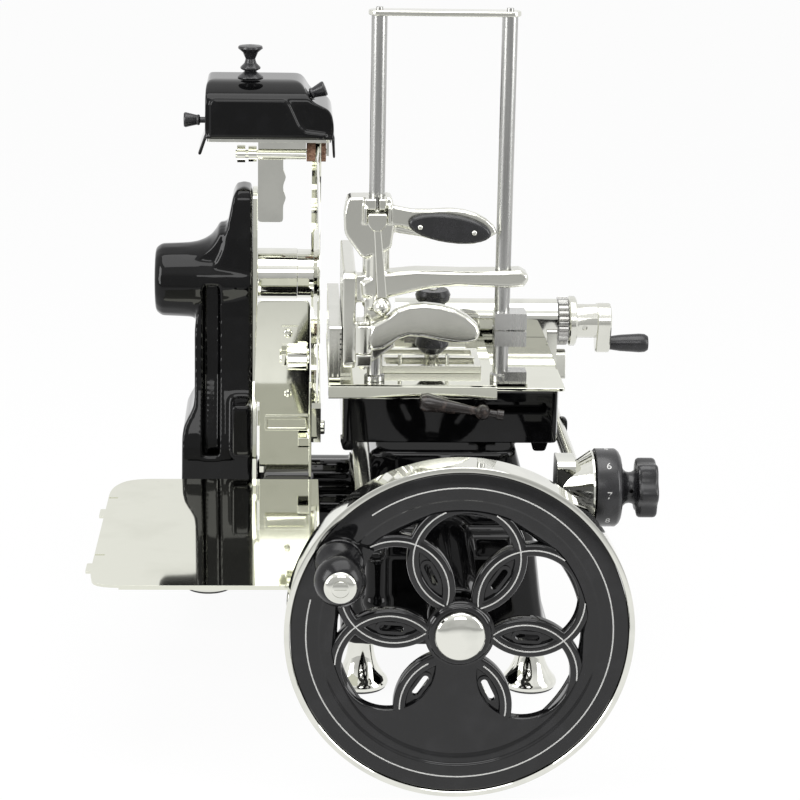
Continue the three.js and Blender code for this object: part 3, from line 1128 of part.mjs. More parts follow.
// Press: slides on the posts. One casting holds the fluted sleeve, the block, the arm and the handle
function pressColumn() {
  const sleeve = pull('z', fluted([POST_LEFT_X, POST_Y], 15.5, 8), 470, 572);
  const head = pull('y', roundedPolygon([[-117, 600], [-66, 601], [-62, 575], [-66, 540], [-99, 528],
    [-120, 557], [-121, 578]], 5), 312, 345, 2, 2);
  const jaw = block([-98, -73], [300, 316], [588, 601]);
  const armOutline = smoothOutline([[-100, 500], [-70, 514], [0, 514.5], [60, 515], [88, 515], [93, 507],
    [88, 497], [60, 495], [20, 497], [-20, 494], [-55, 486], [-95, 480]], 16);
  const arm = pull('y', armOutline, 312, 342, 3);
  const presser = pull('x', roundedBox([316, 500], [396, 512], 8), -121, -106, 1, 2);
  const presserTie = block([-108, -80], [318, 338], [476, 508]);
  const lower = pull('y', roundedPolygon([[-106, 454], [-60, 452], [-60, 424], [-88, 404], [-106, 404]], 4),
    314, 342, 2, 2);
  const lug = block([-106, -88], [HANDLE_PIN[1] - 9, 320], [406, 420.6]);
  const pin = join(rod('z', HANDLE_PIN, 5, 402, 458), rod('z', HANDLE_PIN, 8, 455 + FIT, 459));
  const lowerTie = block([-96, -70], [316, 340], [440, 480]);
  const ear = (from, to) => block([from, to], [297, 314], [571, 592]);
  const leverPin = rod('x', LEVER_PIN, 3, -98, -68, 12);
  const leverRoom = block([-95, -71], [290, 311], [560, 587]);
  const headWithEars = cut(join(head, jaw, ear(-99, -95), ear(-71, -67)), leverRoom);
  const whole = join(sleeve, headWithEars, leverPin, arm, presser, presserTie, pressHandle(), lower, lowerTie, lug, pin);
  const bore = (x) => rod('z', [x, POST_Y], POST_RADIUS + FIT, 380, 640, 16);
  const split = block([POST_LEFT_X - 1.5, POST_LEFT_X + 1.5], [290, POST_Y - 5], [586, 606]);
  return cut(whole, bore(POST_LEFT_X), bore(POST_RIGHT_X), split);
}

function fluted([x, y], radius, flutes) {
  const steps = flutes * 3;
  const points = [];
  for (let i = 0; i < steps; i += 1) {
    const angle = (2 * Math.PI * i) / steps;
    const reach = radius - (i % 3 === 1 ? 2 : 0);
    points.push([x + reach * Math.cos(angle), y + reach * Math.sin(angle)]);
  }
  return polygon(points);
}

function pressHandle() {
  const upper = smoothOutline([[-76, 592], [-62, 590], [-37, 586], [0, 588], [26, 584], [46, 573], [55, 560],
    [40, 553], [10, 553], [-24, 558], [-50, 566], [-76, 569]], 20);
  const plate = pull('y', upper, 312, 324, 2);
  const trigger = pull('y', smoothOutline([[-74, 562], [-40, 556], [0, 547], [32, 547], [34, 551], [0, 552],
    [-40, 562], [-74, 568]], 14), 316, 322);
  return join(plate, trigger);
}

function handleGrip() {
  const oval = new THREE.Shape();
  oval.absellipse(0, 566, 48, 16.5, 0, 2 * Math.PI, false, THREE.MathUtils.degToRad(-8));
  return pull('y', oval, 303, 312 - FIT, 3, 14);
}

// Wrench-shaped lever that frees the press on its post
function releaseLever() {
  const y = 299;
  const head = pull('y', roundedPolygon([[-94, 584], [-72, 584], [-72, 572], [-78, 564], [-88, 564],
    [-94, 572]], 3), y - 2, y + 8, 1, 3);
  const shank = pull('y', polygon([[-87, 570], [-79, 570], [-71, 486], [-82, 486]]), y - 1, y + 6, 1);
  const ball = new THREE.SphereGeometry(11, 12, 6).translate(-77, y + 1, 476);
  return cut(join(head, shank, solidOf(ball)), rod('x', LEVER_PIN, 3 + FIT, -110, -60, 12));
}

// Lens-shaped handle that swings on the stud at its left end
function lowerHandle() {
  const outline = smoothOutline([[-88, 455], [-74, 462], [-58, 475], [-33, 481], [-4, 478], [20, 468],
    [36, 452], [34, 438], [16, 434], [-14, 438], [-42, 443], [-58, 438], [-72, 428], [-92, 426]], 22);
  const plate = pull('y', outline, 290, 308, 3);
  const eye = rod('z', HANDLE_PIN, 10.5, 421, 455, 16);
  return cut(join(plate, eye), rod('z', HANDLE_PIN, 5 + FIT, 380, 500));
}

// Putting the machine together
const frameGroup = body(machine, [0, 0, 0]);
piece(frameGroup, 'base_casting', baseCasting(), blackEnamel);
piece(frameGroup, 'foot_front_left', foot([FOOT_LEFT_X, FOOT_FRONT_Y]), chrome);
piece(frameGroup, 'foot_front_right', foot([FOOT_RIGHT_X, FOOT_FRONT_Y]), chrome);
piece(frameGroup, 'foot_rear_left', foot([FOOT_COLUMN_X, FOOT_REAR_Y]), chrome);
piece(frameGroup, 'foot_rear_right', foot([FOOT_RIGHT_X, FOOT_REAR_Y]), chrome);
piece(frameGroup, 'wheel_shaft_bush', wheelBush(), bronze);
piece(frameGroup, 'left_rail', leftRail(), chrome);
piece(frameGroup, 'feed_control_rod', controlRod(), chrome);
piece(frameGroup, 'thickness_block', thicknessBlock(), chrome);
piece(frameGroup, 'column_casting', columnCasting(), blackEnamel);
piece(frameGroup, 'column_cover', columnCover(), stainless);
piece(frameGroup, 'blade_collar', bladeCollar(), chrome);
piece(frameGroup, 'drive_chain', driveChain(), toolSteel);
piece(frameGroup, 'blade_guard', bladeGuard(), stainless);
piece(frameGroup, 'deflector_plate', deflectorPlate(), stainless);
piece(frameGroup, 'slice_tray', sliceTray(), stainless);
piece(frameGroup, 'sharpener_frame', sharpenerFrame(), chrome);

const flywheel = body(machine, [0, 0, AXLE_HEIGHT]);
piece(flywheel, 'flywheel_disc', flywheelDisc(), blackEnamel);
piece(flywheel, 'flywheel_rim', flywheelRim(), chrome);
piece(flywheel, 'flywheel_cap', flywheelCap(), chrome);
piece(flywheel, 'wheel_shaft', wheelShaft(), toolSteel);
piece(flywheel, 'crank_spindle', crankSpindle(), chrome);
const crankGripGroup = body(flywheel, [CRANK_X, 0, CRANK_Z]);
piece(crankGripGroup, 'crank_grip', crankGrip(), blackPlastic);

const crossGroup = body(machine, [0, CROSS_Y, AXLE_HEIGHT]);
piece(crossGroup, 'cross_shaft', crossShaft(), toolSteel);
piece(crossGroup, 'bevel_gear', bevelGear(), toolSteel);
piece(crossGroup, 'carriage_crank', crankArm(), toolSteel);
piece(crossGroup, 'lower_sprocket', sprocket([CROSS_Y, AXLE_HEIGHT], LOWER_PITCH_RADIUS, LOWER_TEETH,
  CROSS_RADIUS), toolSteel);

const bladeGroup = body(machine, [BLADE_X, BLADE_Y, BLADE_HEIGHT]);
piece(bladeGroup, 'blade', blade(), stainless);
piece(bladeGroup, 'blade_shaft', bladeShaft(), chrome);
piece(bladeGroup, 'upper_sprocket', sprocket([BLADE_Y, BLADE_HEIGHT], UPPER_PITCH_RADIUS, UPPER_TEETH,
  BLADE_SHAFT_RADIUS), toolSteel);

const deflectorKnobGroup = body(machine, [-172, 484, 364]);
piece(deflectorKnobGroup, 'deflector_knob', deflectorKnob(), chrome);

const hoodGroup = body(machine, [(HOOD_LEFT + HOOD_RIGHT) / 2, BLADE_Y, SHARPENER_BASE]);
piece(hoodGroup, 'sharpener_hood', sharpenerHood(), blackEnamel);
piece(hoodGroup, 'hood_knob', hoodKnob(), blackPlastic);
const leftButtonGroup = body(hoodGroup, [HOOD_LEFT, 590, 641]);
piece(leftButtonGroup, 'left_button', leftButton(), blackPlastic);
const rightButtonGroup = body(hoodGroup, [RIGHT_BUTTON.x, RIGHT_BUTTON.y, RIGHT_BUTTON.z]);
piece(rightButtonGroup, 'right_button', rightButton(), blackPlastic);
const leftStoneGroup = body(machine, [-157, 596, 602]);
piece(leftStoneGroup, 'left_stone', sharpeningStone(-162, BLADE_X - BLADE_THICKNESS - 2), stone);
const rightStoneGroup = body(machine, [-139, 596, 602]);
piece(rightStoneGroup, 'right_stone', sharpeningStone(BLADE_X + 2, -138), stone);

const dialGroup = body(machine, [DIAL_LEFT, DIAL_Y, DIAL_HEIGHT]);
piece(dialGroup, 'thickness_dial', thicknessDial(), blackPlastic);

const carriage = body(machine, [0, CARRIAGE_FRONT, CARRIAGE_BOTTOM]);
piece(carriage, 'carriage_body', carriageBody(), blackEnamel);
piece(carriage, 'carriage_plate', carriagePlate(), stainless);
piece(carriage, 'crank_yoke', crankYoke(), toolSteel);
piece(carriage, 'screw_cover', screwCover(), chrome);
piece(carriage, 'feed_bracket', feedBracket(), castAluminium);
const rollerGroup = body(carriage, [78, ROLLER_Y, ROLLER_HEIGHT]);
piece(rollerGroup, 'carriage_roller', carriageRoller(), toolSteel);
const leverGroup = body(carriage, [LEVER_CENTRE[0], 291, LEVER_CENTRE[1]]);
piece(leverGroup, 'clamp_lever', clampLever(), darkLever);
const feedGroup = body(carriage, [SCREW_COVER_RIGHT, SCREW_Y, SCREW_HEIGHT]);
piece(feedGroup, 'feed_screw', feedScrew(), toolSteel);
piece(feedGroup, 'feed_crank', feedCrank(), castAluminium);
const feedGripGroup = body(feedGroup, [SCREW_COVER_RIGHT + 70, SCREW_Y, SCREW_HEIGHT - HAND_CRANK_DROP]);
piece(feedGripGroup, 'feed_crank_grip', feedCrankGrip(), blackPlastic);

const table = body(carriage, [0, TABLE_FRONT, TABLE_BOTTOM]);
piece(table, 'meat_table', meatTable(), stainless);
piece(table, 'feed_nut', feedNut(), toolSteel);
piece(table, 'fence', fence(), castAluminium);
piece(table, 'post_left', postLeft(), chrome);
piece(table, 'post_right', postRight(), chrome);
piece(table, 'top_bar', topBar(), castAluminium);
piece(table, 'grip_frame', gripFrame(), castAluminium);
const frameKnobGroup = body(table, [-13, 389, TABLE_TOP]);
piece(frameKnobGroup, 'frame_knob', frameKnob(), blackPlastic);

const press = body(table, [POST_LEFT_X, POST_Y, 500]);
piece(press, 'press_column', pressColumn(), castAluminium);
piece(press, 'handle_grip', handleGrip(), blackPlastic);
const releaseGroup = body(press, [POST_LEFT_X, ...LEVER_PIN]);
piece(releaseGroup, 'release_lever', releaseLever(), castAluminium);
const lowerHandleGroup = body(press, [...HANDLE_PIN, 440]);
piece(lowerHandleGroup, 'lower_handle', lowerHandle(), castAluminium);

// The origin lies on the bench, under the middle of the whole machine
const bounds = new THREE.Box3().setFromObject(machine);
const middle = bounds.getCenter(new THREE.Vector3());
machine.position.set(-middle.x, -middle.y, -bounds.min.z);
machine.updateMatrixWorld(true);

export default machine;
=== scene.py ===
import json
import math

import bmesh
import bpy
from mathutils import Matrix, Vector


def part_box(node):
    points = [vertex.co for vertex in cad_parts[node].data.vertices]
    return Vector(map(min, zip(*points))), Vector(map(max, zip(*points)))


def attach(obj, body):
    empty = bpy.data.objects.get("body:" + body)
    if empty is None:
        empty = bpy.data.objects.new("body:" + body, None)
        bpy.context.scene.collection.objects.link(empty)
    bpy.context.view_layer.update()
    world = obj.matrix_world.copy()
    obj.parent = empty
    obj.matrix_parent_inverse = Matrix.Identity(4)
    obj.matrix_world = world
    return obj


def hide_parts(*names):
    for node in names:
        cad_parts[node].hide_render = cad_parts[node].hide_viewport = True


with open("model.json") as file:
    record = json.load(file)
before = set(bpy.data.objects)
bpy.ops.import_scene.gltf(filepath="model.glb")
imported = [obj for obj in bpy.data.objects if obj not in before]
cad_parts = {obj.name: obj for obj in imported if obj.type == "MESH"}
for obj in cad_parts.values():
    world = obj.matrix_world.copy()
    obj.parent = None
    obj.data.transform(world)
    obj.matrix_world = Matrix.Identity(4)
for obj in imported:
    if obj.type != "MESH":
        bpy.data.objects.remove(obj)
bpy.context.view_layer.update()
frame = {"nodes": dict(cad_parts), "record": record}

# Base casting: a bell of cast iron with a long bearing for the wheel, stove enamelled.
# Its machined faces are few, so nearly all of it is deep wet black. Its own zero, which all
# the pieces share, lies on the wheel's axis, 9 mm behind the bright rim's front, on the bench.
MM = 0.001
RIM_AHEAD = 9
rim_low, rim_high = (Vector(corner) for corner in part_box("flywheel_rim"))
ZERO = Vector(((rim_low.x + rim_high.x) / 2, rim_low.y + RIM_AHEAD * MM, 0))
SLOT_OF = {part["node"]: part["material_slot"] for part in frame["record"]["subparts"]}
BODY_OF = {node: body for body, nodes in frame["record"]["behaviour"]["bodies"].items()
           for node in nodes}
FINISHES = {}
WELD_GAP = 2e-6
MOULD_SOFTNESS = 0.5
CAST_TRIANGLES = 186000


def at(x, y, z):
    """A place in the machine's own millimetres, as a place in the frame."""
    return ZERO + Vector((x, y, z)) * MM


class Value:
    """A node's output that takes part in plain arithmetic."""

    def __init__(self, graph, socket):
        self.graph = graph
        self.socket = socket

    def combine(self, operation, first, second):
        return self.graph.node("ShaderNodeMath", {"operation": operation}, {0: first, 1: second})

    def __add__(self, other):
        return self.combine("ADD", self, other)

    __radd__ = __add__

    def __mul__(self, other):
        return self.combine("MULTIPLY", self, other)

    __rmul__ = __mul__

    def __sub__(self, other):
        return self.combine("SUBTRACT", self, other)

    def __rsub__(self, other):
        return self.combine("SUBTRACT", other, self)

    def __gt__(self, other):
        return self.combine("GREATER_THAN", self, other)

    def __lt__(self, other):
        return self.combine("LESS_THAN", self, other)


class Graph:
    """A tree of nodes, for a surface, the world or a geometry."""

    def __init__(self, tree):
        self.tree = tree

    def node(self, kind, settings, inputs, output=0):
        made = self.tree.nodes.new(kind)
        for name, value in settings.items():
            setattr(made, name, value)
        for key, value in inputs.items():
            self.feed(made.inputs[key], value)
        return Value(self, made.outputs[output])

    def feed(self, socket, value):
        if isinstance(value, Value):
            self.tree.links.new(value.socket, socket)
        else:
            socket.default_value = value


class Finish(Graph):
    """One material. It stands in FINISHES under the slot's name."""

    def __init__(self, name):
        self.material = bpy.data.materials.new(name)
        self.material.use_nodes = True
        super().__init__(self.material.node_tree)
        self.shader = self.tree.nodes["Principled BSDF"]
        self.place = self.node("ShaderNodeTexCoord", {}, {}, "Object")
        FINISHES[name] = self.material

    def set(self, **sockets):
        """Feeds the shader's sockets, named with _ for each blank, by values or constants."""
        for name, value in sockets.items():
            self.feed(self.shader.inputs[name.replace("_", " ")], value)

    def noise(self, scale, detail=3.0, stretch=(1, 1, 1), rough=0.5):
        spread = self.node("ShaderNodeMapping", {}, {"Vector": self.place, "Scale": stretch})
        return self.node("ShaderNodeTexNoise", {"noise_dimensions": "3D"},
                         {"Vector": spread, "Scale": scale, "Detail": detail, "Roughness": rough})

    def ramp(self, value, low, high):
        return self.node("ShaderNodeMapRange", {"clamp": True},
                         {"Value": value, "From Min": low, "From Max": high})

    def blend(self, share, first, second):
        return self.node("ShaderNodeMix", {"data_type": "RGBA"},
                         {0: share, 6: (*first, 1), 7: (*second, 1)}, 2)

    def relief(self, height, strength, distance=0.001):
        return self.node("ShaderNodeBump", {},
                         {"Height": height, "Strength": strength, "Distance": distance})


def new_piece(name, mesh):
    piece = bpy.data.objects.new(name, mesh)
    bpy.context.scene.collection.objects.link(piece)
    return piece


def plain_mesh(piece):
    """Applies a piece's modifiers and gives it a plain mesh."""
    graph = bpy.context.evaluated_depsgraph_get()
    graph.update()
    mesh = bpy.data.meshes.new_from_object(piece.evaluated_get(graph))
    piece.modifiers.clear()
    piece.data = mesh


def fix(piece, body, slot, nodes=(), finish=None):
    """Gives a piece its finish and its body, and hides the CAD nodes that it stands for."""
    piece.data.materials.clear()
    piece.data.materials.append(FINISHES[finish or slot])
    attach(piece, body)
    if nodes:
        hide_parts(*nodes)
    return piece


def enamelled(name, level, light):
    """Black stove enamel: how strongly it mirrors, and its colour where dust lies."""
    enamel = Finish(name)
    dust = enamel.ramp(enamel.noise(45, 4), 0.5, 0.8)
    clean = (light * 0.4, light * 0.4, light * 0.44)
    enamel.set(Base_Color=enamel.blend(dust, clean, (light, light, light * 1.1)),
               Roughness=0.035 + dust * 0.05, Specular_IOR_Level=level,
               Normal=enamel.relief(enamel.noise(190, 2), 0.012, 0.0006))


def combined(piece, others, operation):
    """Joins, cuts or crosses a piece with others, which are used up."""
    for other in others:
        step = piece.modifiers.new(operation, "BOOLEAN")
        step.operation = operation
        step.solver = "MANIFOLD"
        step.object = other
    plain_mesh(piece)
    for other in others:
        bpy.data.objects.remove(other)
    return piece


def copied(node, flatten=0):
    """A copy of a CAD node's mesh, its doubled corners joined and its flat faces made whole."""
    mesh = frame["nodes"][node].data.copy()
    work = bmesh.new()
    work.from_mesh(mesh)
    bmesh.ops.remove_doubles(work, verts=work.verts, dist=WELD_GAP)
    if flatten:
        bmesh.ops.dissolve_limit(work, angle_limit=math.radians(flatten), verts=work.verts,
                                 edges=work.edges)
    work.to_mesh(mesh)
    work.free()
    return mesh


def cast(node, grain, rounds, added=(), cutters=(), finish=None):
    """A casting: a CAD node with its edges deeply rounded, as a sand mould leaves them."""
    piece = new_piece(node + "_cast", copied(node))
    if added:
        combined(piece, added, "UNION")
    if cutters:
        combined(piece, cutters, "DIFFERENCE")
    mould = piece.modifiers.new("mould", "REMESH")
    mould.mode = "VOXEL"
    mould.voxel_size = grain * MM
    soft = piece.modifiers.new("soft", "SMOOTH")
    soft.factor = MOULD_SOFTNESS
    soft.iterations = rounds
    plain_mesh(piece)
    triangles = 2 * len(piece.data.polygons)
    if triangles > CAST_TRIANGLES:
        thin = piece.modifiers.new("thin", "DECIMATE")
        thin.ratio = CAST_TRIANGLES / triangles
        plain_mesh(piece)
    piece.data.shade_smooth()
    return fix(piece, BODY_OF[node], SLOT_OF[node], [node], finish)


enamelled("black_enamel", 0.5, 0.010)
enamelled("deep_enamel", 0.26, 0.004)
cast("base_casting", 2.9, 7, finish="deep_enamel")

# Feet: turned bells of brass, chrome plated, each with a rubber ring under it. They screw into
# the corners of the casting. The plate mirrors everything, with faint wiping marks.
FOOT_RING_RADIUS = 31
FOOT_RING_HEIGHT = 2.4
FOOT_STEPS = 64
LOBE_ROOM = 1.2
EDGE_STEPS = 2
SHARP_MARGIN = 6
FLAT_WEIGHT = 90
chrome = Finish("chrome")
wiped = chrome.ramp(chrome.noise(35, 5), 0.4, 0.7)
chrome.set(Base_Color=chrome.blend(wiped, (0.78, 0.78, 0.72), (0.70, 0.705, 0.65)),
           Roughness=0.03 + wiped * 0.04, Metallic=1.0,
           Normal=chrome.relief(chrome.noise(420, 3), 0.006, 0.0004))
plastic = Finish("black_plastic")
worn = plastic.ramp(plastic.noise(60, 3), 0.4, 0.7)
plastic.set(Base_Color=plastic.blend(worn, (0.010, 0.010, 0.011), (0.019, 0.019, 0.021)),
            Roughness=0.30 - worn * 0.10,
            Normal=plastic.relief(plastic.noise(900, 2), 0.05, 0.0004))
AXES = {"x": ((1, 0, 0), (0, 1, 0), (0, 0, 1)),
        "y": ((0, 1, 0), (1, 0, 0), (0, 0, 1)),
        "z": ((0, 0, 1), (1, 0, 0), (0, 1, 0))}


def meshed(name, work):
    """A new piece with the faces that were drawn, all pointing outwards."""
    bmesh.ops.recalc_face_normals(work, faces=work.faces)
    mesh = bpy.data.meshes.new(name)
    work.to_mesh(mesh)
    work.free()
    return new_piece(name, mesh)


def turned(name, axis, centre, profile, steps=48, lobes=0, depth=0.0, loop=False):
    """A turned form: radius and distance pairs along an axis through a centre, closed at its ends.
    Lobes and depth scallop it, as on a knob that fingers hold."""
    along, across, up = (Vector(v) for v in AXES[axis])
    work = bmesh.new()
    rings = []
    for radius, distance in profile:
        ring = []
        for i in range(steps if radius else 1):
            angle = 2 * math.pi * i / steps
            scalloped = radius > LOBE_ROOM * abs(depth)
            reach = radius + (depth * math.cos(lobes * angle) if scalloped else 0)
            spot = (along * distance + across * reach * math.cos(angle)
                    + up * reach * math.sin(angle))
            ring.append(work.verts.new(at(*(Vector(centre) + spot))))
        rings.append(ring)
    for low, high in zip(rings, rings[1:] + rings[:1] if loop else rings[1:]):
        for i in range(steps):
            j = (i + 1) % steps
            corners = [low[i % len(low)], low[j % len(low)],
                       high[j % len(high)], high[i % len(high)]]
            corners = [c for k, c in enumerate(corners) if c not in corners[:k]]
            if len(corners) > 2:
                work.faces.new(corners)
    for ring in (rings[0], rings[-1]):
        if len(ring) > 1 and not loop:
            work.faces.new(ring)
    return meshed(name, work)


def rounded(piece, edge, corner=32):
    """Rounds a piece's sharp edges by a small radius and keeps its flat faces flat."""
    piece.data.shade_smooth()
    if edge:
        bevel = piece.modifiers.new("eased", "BEVEL")
        bevel.width = edge * MM
        bevel.segments = EDGE_STEPS
        bevel.limit_method = "ANGLE"
        bevel.angle_limit = math.radians(corner)
        bevel.use_clamp_overlap = True
        bevel.miter_outer = "MITER_ARC"
        plain_mesh(piece)
    piece.data.set_sharp_from_angle(angle=math.radians(corner + SHARP_MARGIN))
    weighted = piece.modifiers.new("flat", "WEIGHTED_NORMAL")
    weighted.keep_sharp = True
    weighted.weight = FLAT_WEIGHT
    plain_mesh(piece)


for node in ("foot_front_left", "foot_front_right", "foot_rear_left", "foot_rear_right"):
    foot_low, foot_high = (Vector(corner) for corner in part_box(node))
    middle = ((foot_low + foot_high) / 2 - ZERO) / MM
    stand = (middle.x, middle.y, 0)
    top = (foot_high.z - ZERO.z) / MM
    bell = turned(node + "_bell", "z", stand, [
        (0, FOOT_RING_HEIGHT), (30, FOOT_RING_HEIGHT), (32.6, 3.4), (33.4, 5.4), (33.2, 8),
        (31.4, 11.5), (28.4, 15), (25, 20), (21.8, 26), (19, 33), (16.9, 41), (15.6, 50),
        (14.9, 58), (14.9, top - 5), (12.6, top - 4.6), (12.6, top), (0, top)], FOOT_STEPS)
    rounded(bell, 0)
    fix(bell, BODY_OF[node], "chrome", [node])
    pad = turned(node + "_ring", "z", stand, [
        (0, 0), (FOOT_RING_RADIUS - 1, 0), (FOOT_RING_RADIUS, 0.8),
        (FOOT_RING_RADIUS, FOOT_RING_HEIGHT + 0.2), (0, FOOT_RING_HEIGHT + 0.2)], FOOT_STEPS)
    rounded(pad, 0)
    fix(pad, BODY_OF[node], "black_plastic")

# Drive: wheel shaft and bush, cross shaft, bevel gear, sprockets and carriage crank, all machined
# from bar and oiled. The chain is made of plates and rollers, pitched along its path.
PLAIN_EDGE = 0.25
CHAIN_PITCH = 9.525
CHAIN_PLATE = 1.0
ROLLER_RADIUS = 0.26  # this and the next four are shares of the pitch
ROLLER_LENGTH = 0.66
PLATE_OFFSET = 0.36
PLATE_LENGTH = 1.2
PLATE_HEIGHT = 0.56
CHAIN_X = -262
LOWER_PITCH_RADIUS = 27.43
UPPER_PITCH_RADIUS = 18.4
CROSS_AXIS = (556, 193)
BLADE_AXIS = (600, 445)


def machined(name, light, dark, roughness):
    """Bare metal with the fine grain of turning and thin oil on it."""
    steel = Finish(name)
    oil = steel.ramp(steel.noise(50, 4), 0.35, 0.7)
    grain = steel.noise(700, 2, (1, 0.2, 1))
    steel.set(Base_Color=steel.blend(oil, light, dark),
              Roughness=roughness + grain * 0.08 - oil * 0.08, Metallic=1.0,
              Normal=steel.relief(grain, 0.03, 0.0003))


def eased(node, edge=PLAIN_EDGE, corner=32, finish=None, flatten=0.6):
    """A clean copy of a CAD node with softened edges and its true finish."""
    piece = new_piece(node + "_finished", copied(node, flatten))
    rounded(piece, edge, corner)
    return fix(piece, BODY_OF[node], SLOT_OF[node], [node], finish)


machined("tool_steel", (0.44, 0.44, 0.42), (0.30, 0.29, 0.28), 0.24)
machined("bronze", (0.52, 0.33, 0.13), (0.34, 0.19, 0.07), 0.30)
for node in ("wheel_shaft", "wheel_shaft_bush", "cross_shaft", "bevel_gear", "carriage_crank",
             "lower_sprocket", "upper_sprocket"):
    eased(node)


def named_input(graph, label, kind):
    """A named input of a geometry tree: its value inside and its identifier outside."""
    item = graph.tree.interface.new_socket(label, in_out="INPUT", socket_type=kind)
    start = next((n for n in graph.tree.nodes if n.bl_idname == "NodeGroupInput"), None)
    start = start or graph.tree.nodes.new("NodeGroupInput")
    return Value(graph, start.outputs[label]), item.identifier


def close_geometry(graph, geometry, slot):
    """Ends a geometry tree: real geometry with its material set."""
    graph.tree.interface.new_socket("Geometry", in_out="OUTPUT", socket_type="NodeSocketGeometry")
    real = graph.node("GeometryNodeRealizeInstances", {}, {"Geometry": geometry})
    dressed = graph.node("GeometryNodeSetMaterial", {},
                         {"Geometry": real, "Material": FINISHES[slot]})
    end = graph.tree.nodes.new("NodeGroupOutput")
    graph.tree.links.new(dressed.socket, end.inputs[0])


def gathered(graph, parts):
    """Several geometries as one."""
    joined = graph.tree.nodes.new("GeometryNodeJoinGeometry")
    for part in parts:
        graph.tree.links.new(part.socket, joined.inputs[0])
    return Value(graph, joined.outputs[0])


def triple(graph, x, y, z):
    """Three numbers as one vector."""
    return graph.node("ShaderNodeCombineXYZ", {}, {"X": x, "Y": y, "Z": z})


def path_mesh(name, strands):
    """Strands of places in machine millimetres, as a mesh of edges."""
    mesh = bpy.data.meshes.new(name)
    points, edges = [], []
    for places in strands:
        first = len(points)
        points += [at(*place) for place in places]
        edges += [(first + i, first + i + 1) for i in range(len(places) - 1)]
    mesh.from_pydata(points, edges, [])
    return mesh


def smoothed(piece, corner):
    """Shades a piece smooth, but for the edges that turn by more than an angle."""
    piece.data.shade_smooth()
    piece.data.set_sharp_from_angle(angle=math.radians(corner))


def grown(name, mesh, graph, values, body, slot, nodes=(), finish=None):
    """A piece grown by a geometry tree on seed points or paths, kept as a plain mesh."""
    piece = new_piece(name, mesh)
    grower = piece.modifiers.new("grown", "NODES")
    grower.node_group = graph.tree
    for identifier, value in values.items():
        grower[identifier] = value
    plain_mesh(piece)
    smoothed(piece, 38)
    return fix(piece, body, slot, nodes, finish)


chain = Graph(bpy.data.node_groups.new("chain_links", "GeometryNodeTree"))
strand, _ = named_input(chain, "Path", "NodeSocketGeometry")
pitch, pitch_id = named_input(chain, "Pitch", "NodeSocketFloat")
plate, plate_id = named_input(chain, "Plate", "NodeSocketFloat")
belt = chain.node("GeometryNodeMeshToCurve", {}, {"Mesh": strand})
even = chain.node("GeometryNodeResampleCurve", {"mode": "LENGTH"},
                  {"Curve": belt, "Length": pitch})
heading = chain.node("GeometryNodeInputTangent", {}, {})
facing = chain.node("FunctionNodeAlignRotationToVector", {"axis": "Y", "pivot_axis": "X"},
                    {"Vector": heading})
roller = chain.node("GeometryNodeMeshCylinder", {}, {
    "Vertices": 10, "Radius": pitch * ROLLER_RADIUS, "Depth": pitch * ROLLER_LENGTH})
parts = [chain.node("GeometryNodeTransform", {},
                    {"Geometry": roller, "Rotation": triple(chain, 0.0, math.pi / 2, 0.0)})]
for side in (-PLATE_OFFSET, PLATE_OFFSET):
    bar = chain.node("GeometryNodeMeshCube", {}, {
        "Size": triple(chain, plate, pitch * PLATE_LENGTH, pitch * PLATE_HEIGHT)})
    parts.append(chain.node("GeometryNodeTransform", {}, {
        "Geometry": bar, "Translation": triple(chain, pitch * side, pitch * 0.5, 0.0)}))
links = chain.node("GeometryNodeInstanceOnPoints", {},
                   {"Points": even, "Instance": gathered(chain, parts), "Rotation": facing})
close_geometry(chain, links, "tool_steel")


def belt_path(x, low, low_radius, high, high_radius, steps=60):
    """A belt line round two wheels in a plane of constant X."""
    heading = math.atan2(high[1] - low[1], high[0] - low[0])
    spread = math.acos((low_radius - high_radius) / math.dist(low, high))
    places = []
    for (y, z), radius, start, end in ((high, high_radius, -spread, spread),
                                       (low, low_radius, spread, 2 * math.pi - spread)):
        for i in range(steps + 1):
            angle = heading + start + (end - start) * i / steps
            places.append((x, y + radius * math.cos(angle), z + radius * math.sin(angle)))
    return places + places[:1]


belt_line = belt_path(CHAIN_X, CROSS_AXIS, LOWER_PITCH_RADIUS, BLADE_AXIS, UPPER_PITCH_RADIUS)
grown("chain", path_mesh("chain", [belt_line]), chain,
      {pitch_id: CHAIN_PITCH * MM, plate_id: CHAIN_PLATE * MM},
      "frame", "tool_steel", ["drive_chain"])

# Column: a hollow iron casting with a tall recess in front and a round boss for the blade's
# bearing, enamelled like the base. A polished steel cover closes its right side. A lining and a
# fill inside keep the recess from breaking into the room of the chain.
RECESS_LINE = [(531, 228), (534, 248), (557, 322), (568, 400), (572, 438), (480, 438), (480, 228)]
RECESS_SIDES = (-290, -269.5)
LINING_LINE = [(516, 130), (518.5, 238), (545.5, 320), (556.5, 400), (561, 440), (575, 440),
               (524, 198), (524, 130)]
LINING_SIDES = (-290, -230.5)
FILL_LINE = [(520, 232), (547, 322), (560, 400), (563, 418), (596, 418), (572, 322), (552, 232)]
FILL_SIDES = (-293, -266.6)
FLARE_CENTRE = (0, 600, 436.4)
TRUNK_LINE = [(562, 340), (640, 340), (640, 520), (566, 520)]
TRUNK_SIDES = (-340, -249)


def prism(name, axis, outline, low, high):
    """An outline drawn in the plane across an axis and pulled along it."""
    along, across, up = (Vector(v) for v in AXES[axis])
    work = bmesh.new()
    ends = [[work.verts.new(at(*(along * d + across * u + up * v))) for u, v in outline]
            for d in (low, high)]
    for end in ends:
        work.faces.new(end)
    count = len(outline)
    for i in range(count):
        j = (i + 1) % count
        work.faces.new((ends[0][i], ends[0][j], ends[1][j], ends[1][i]))
    return meshed(name, work)


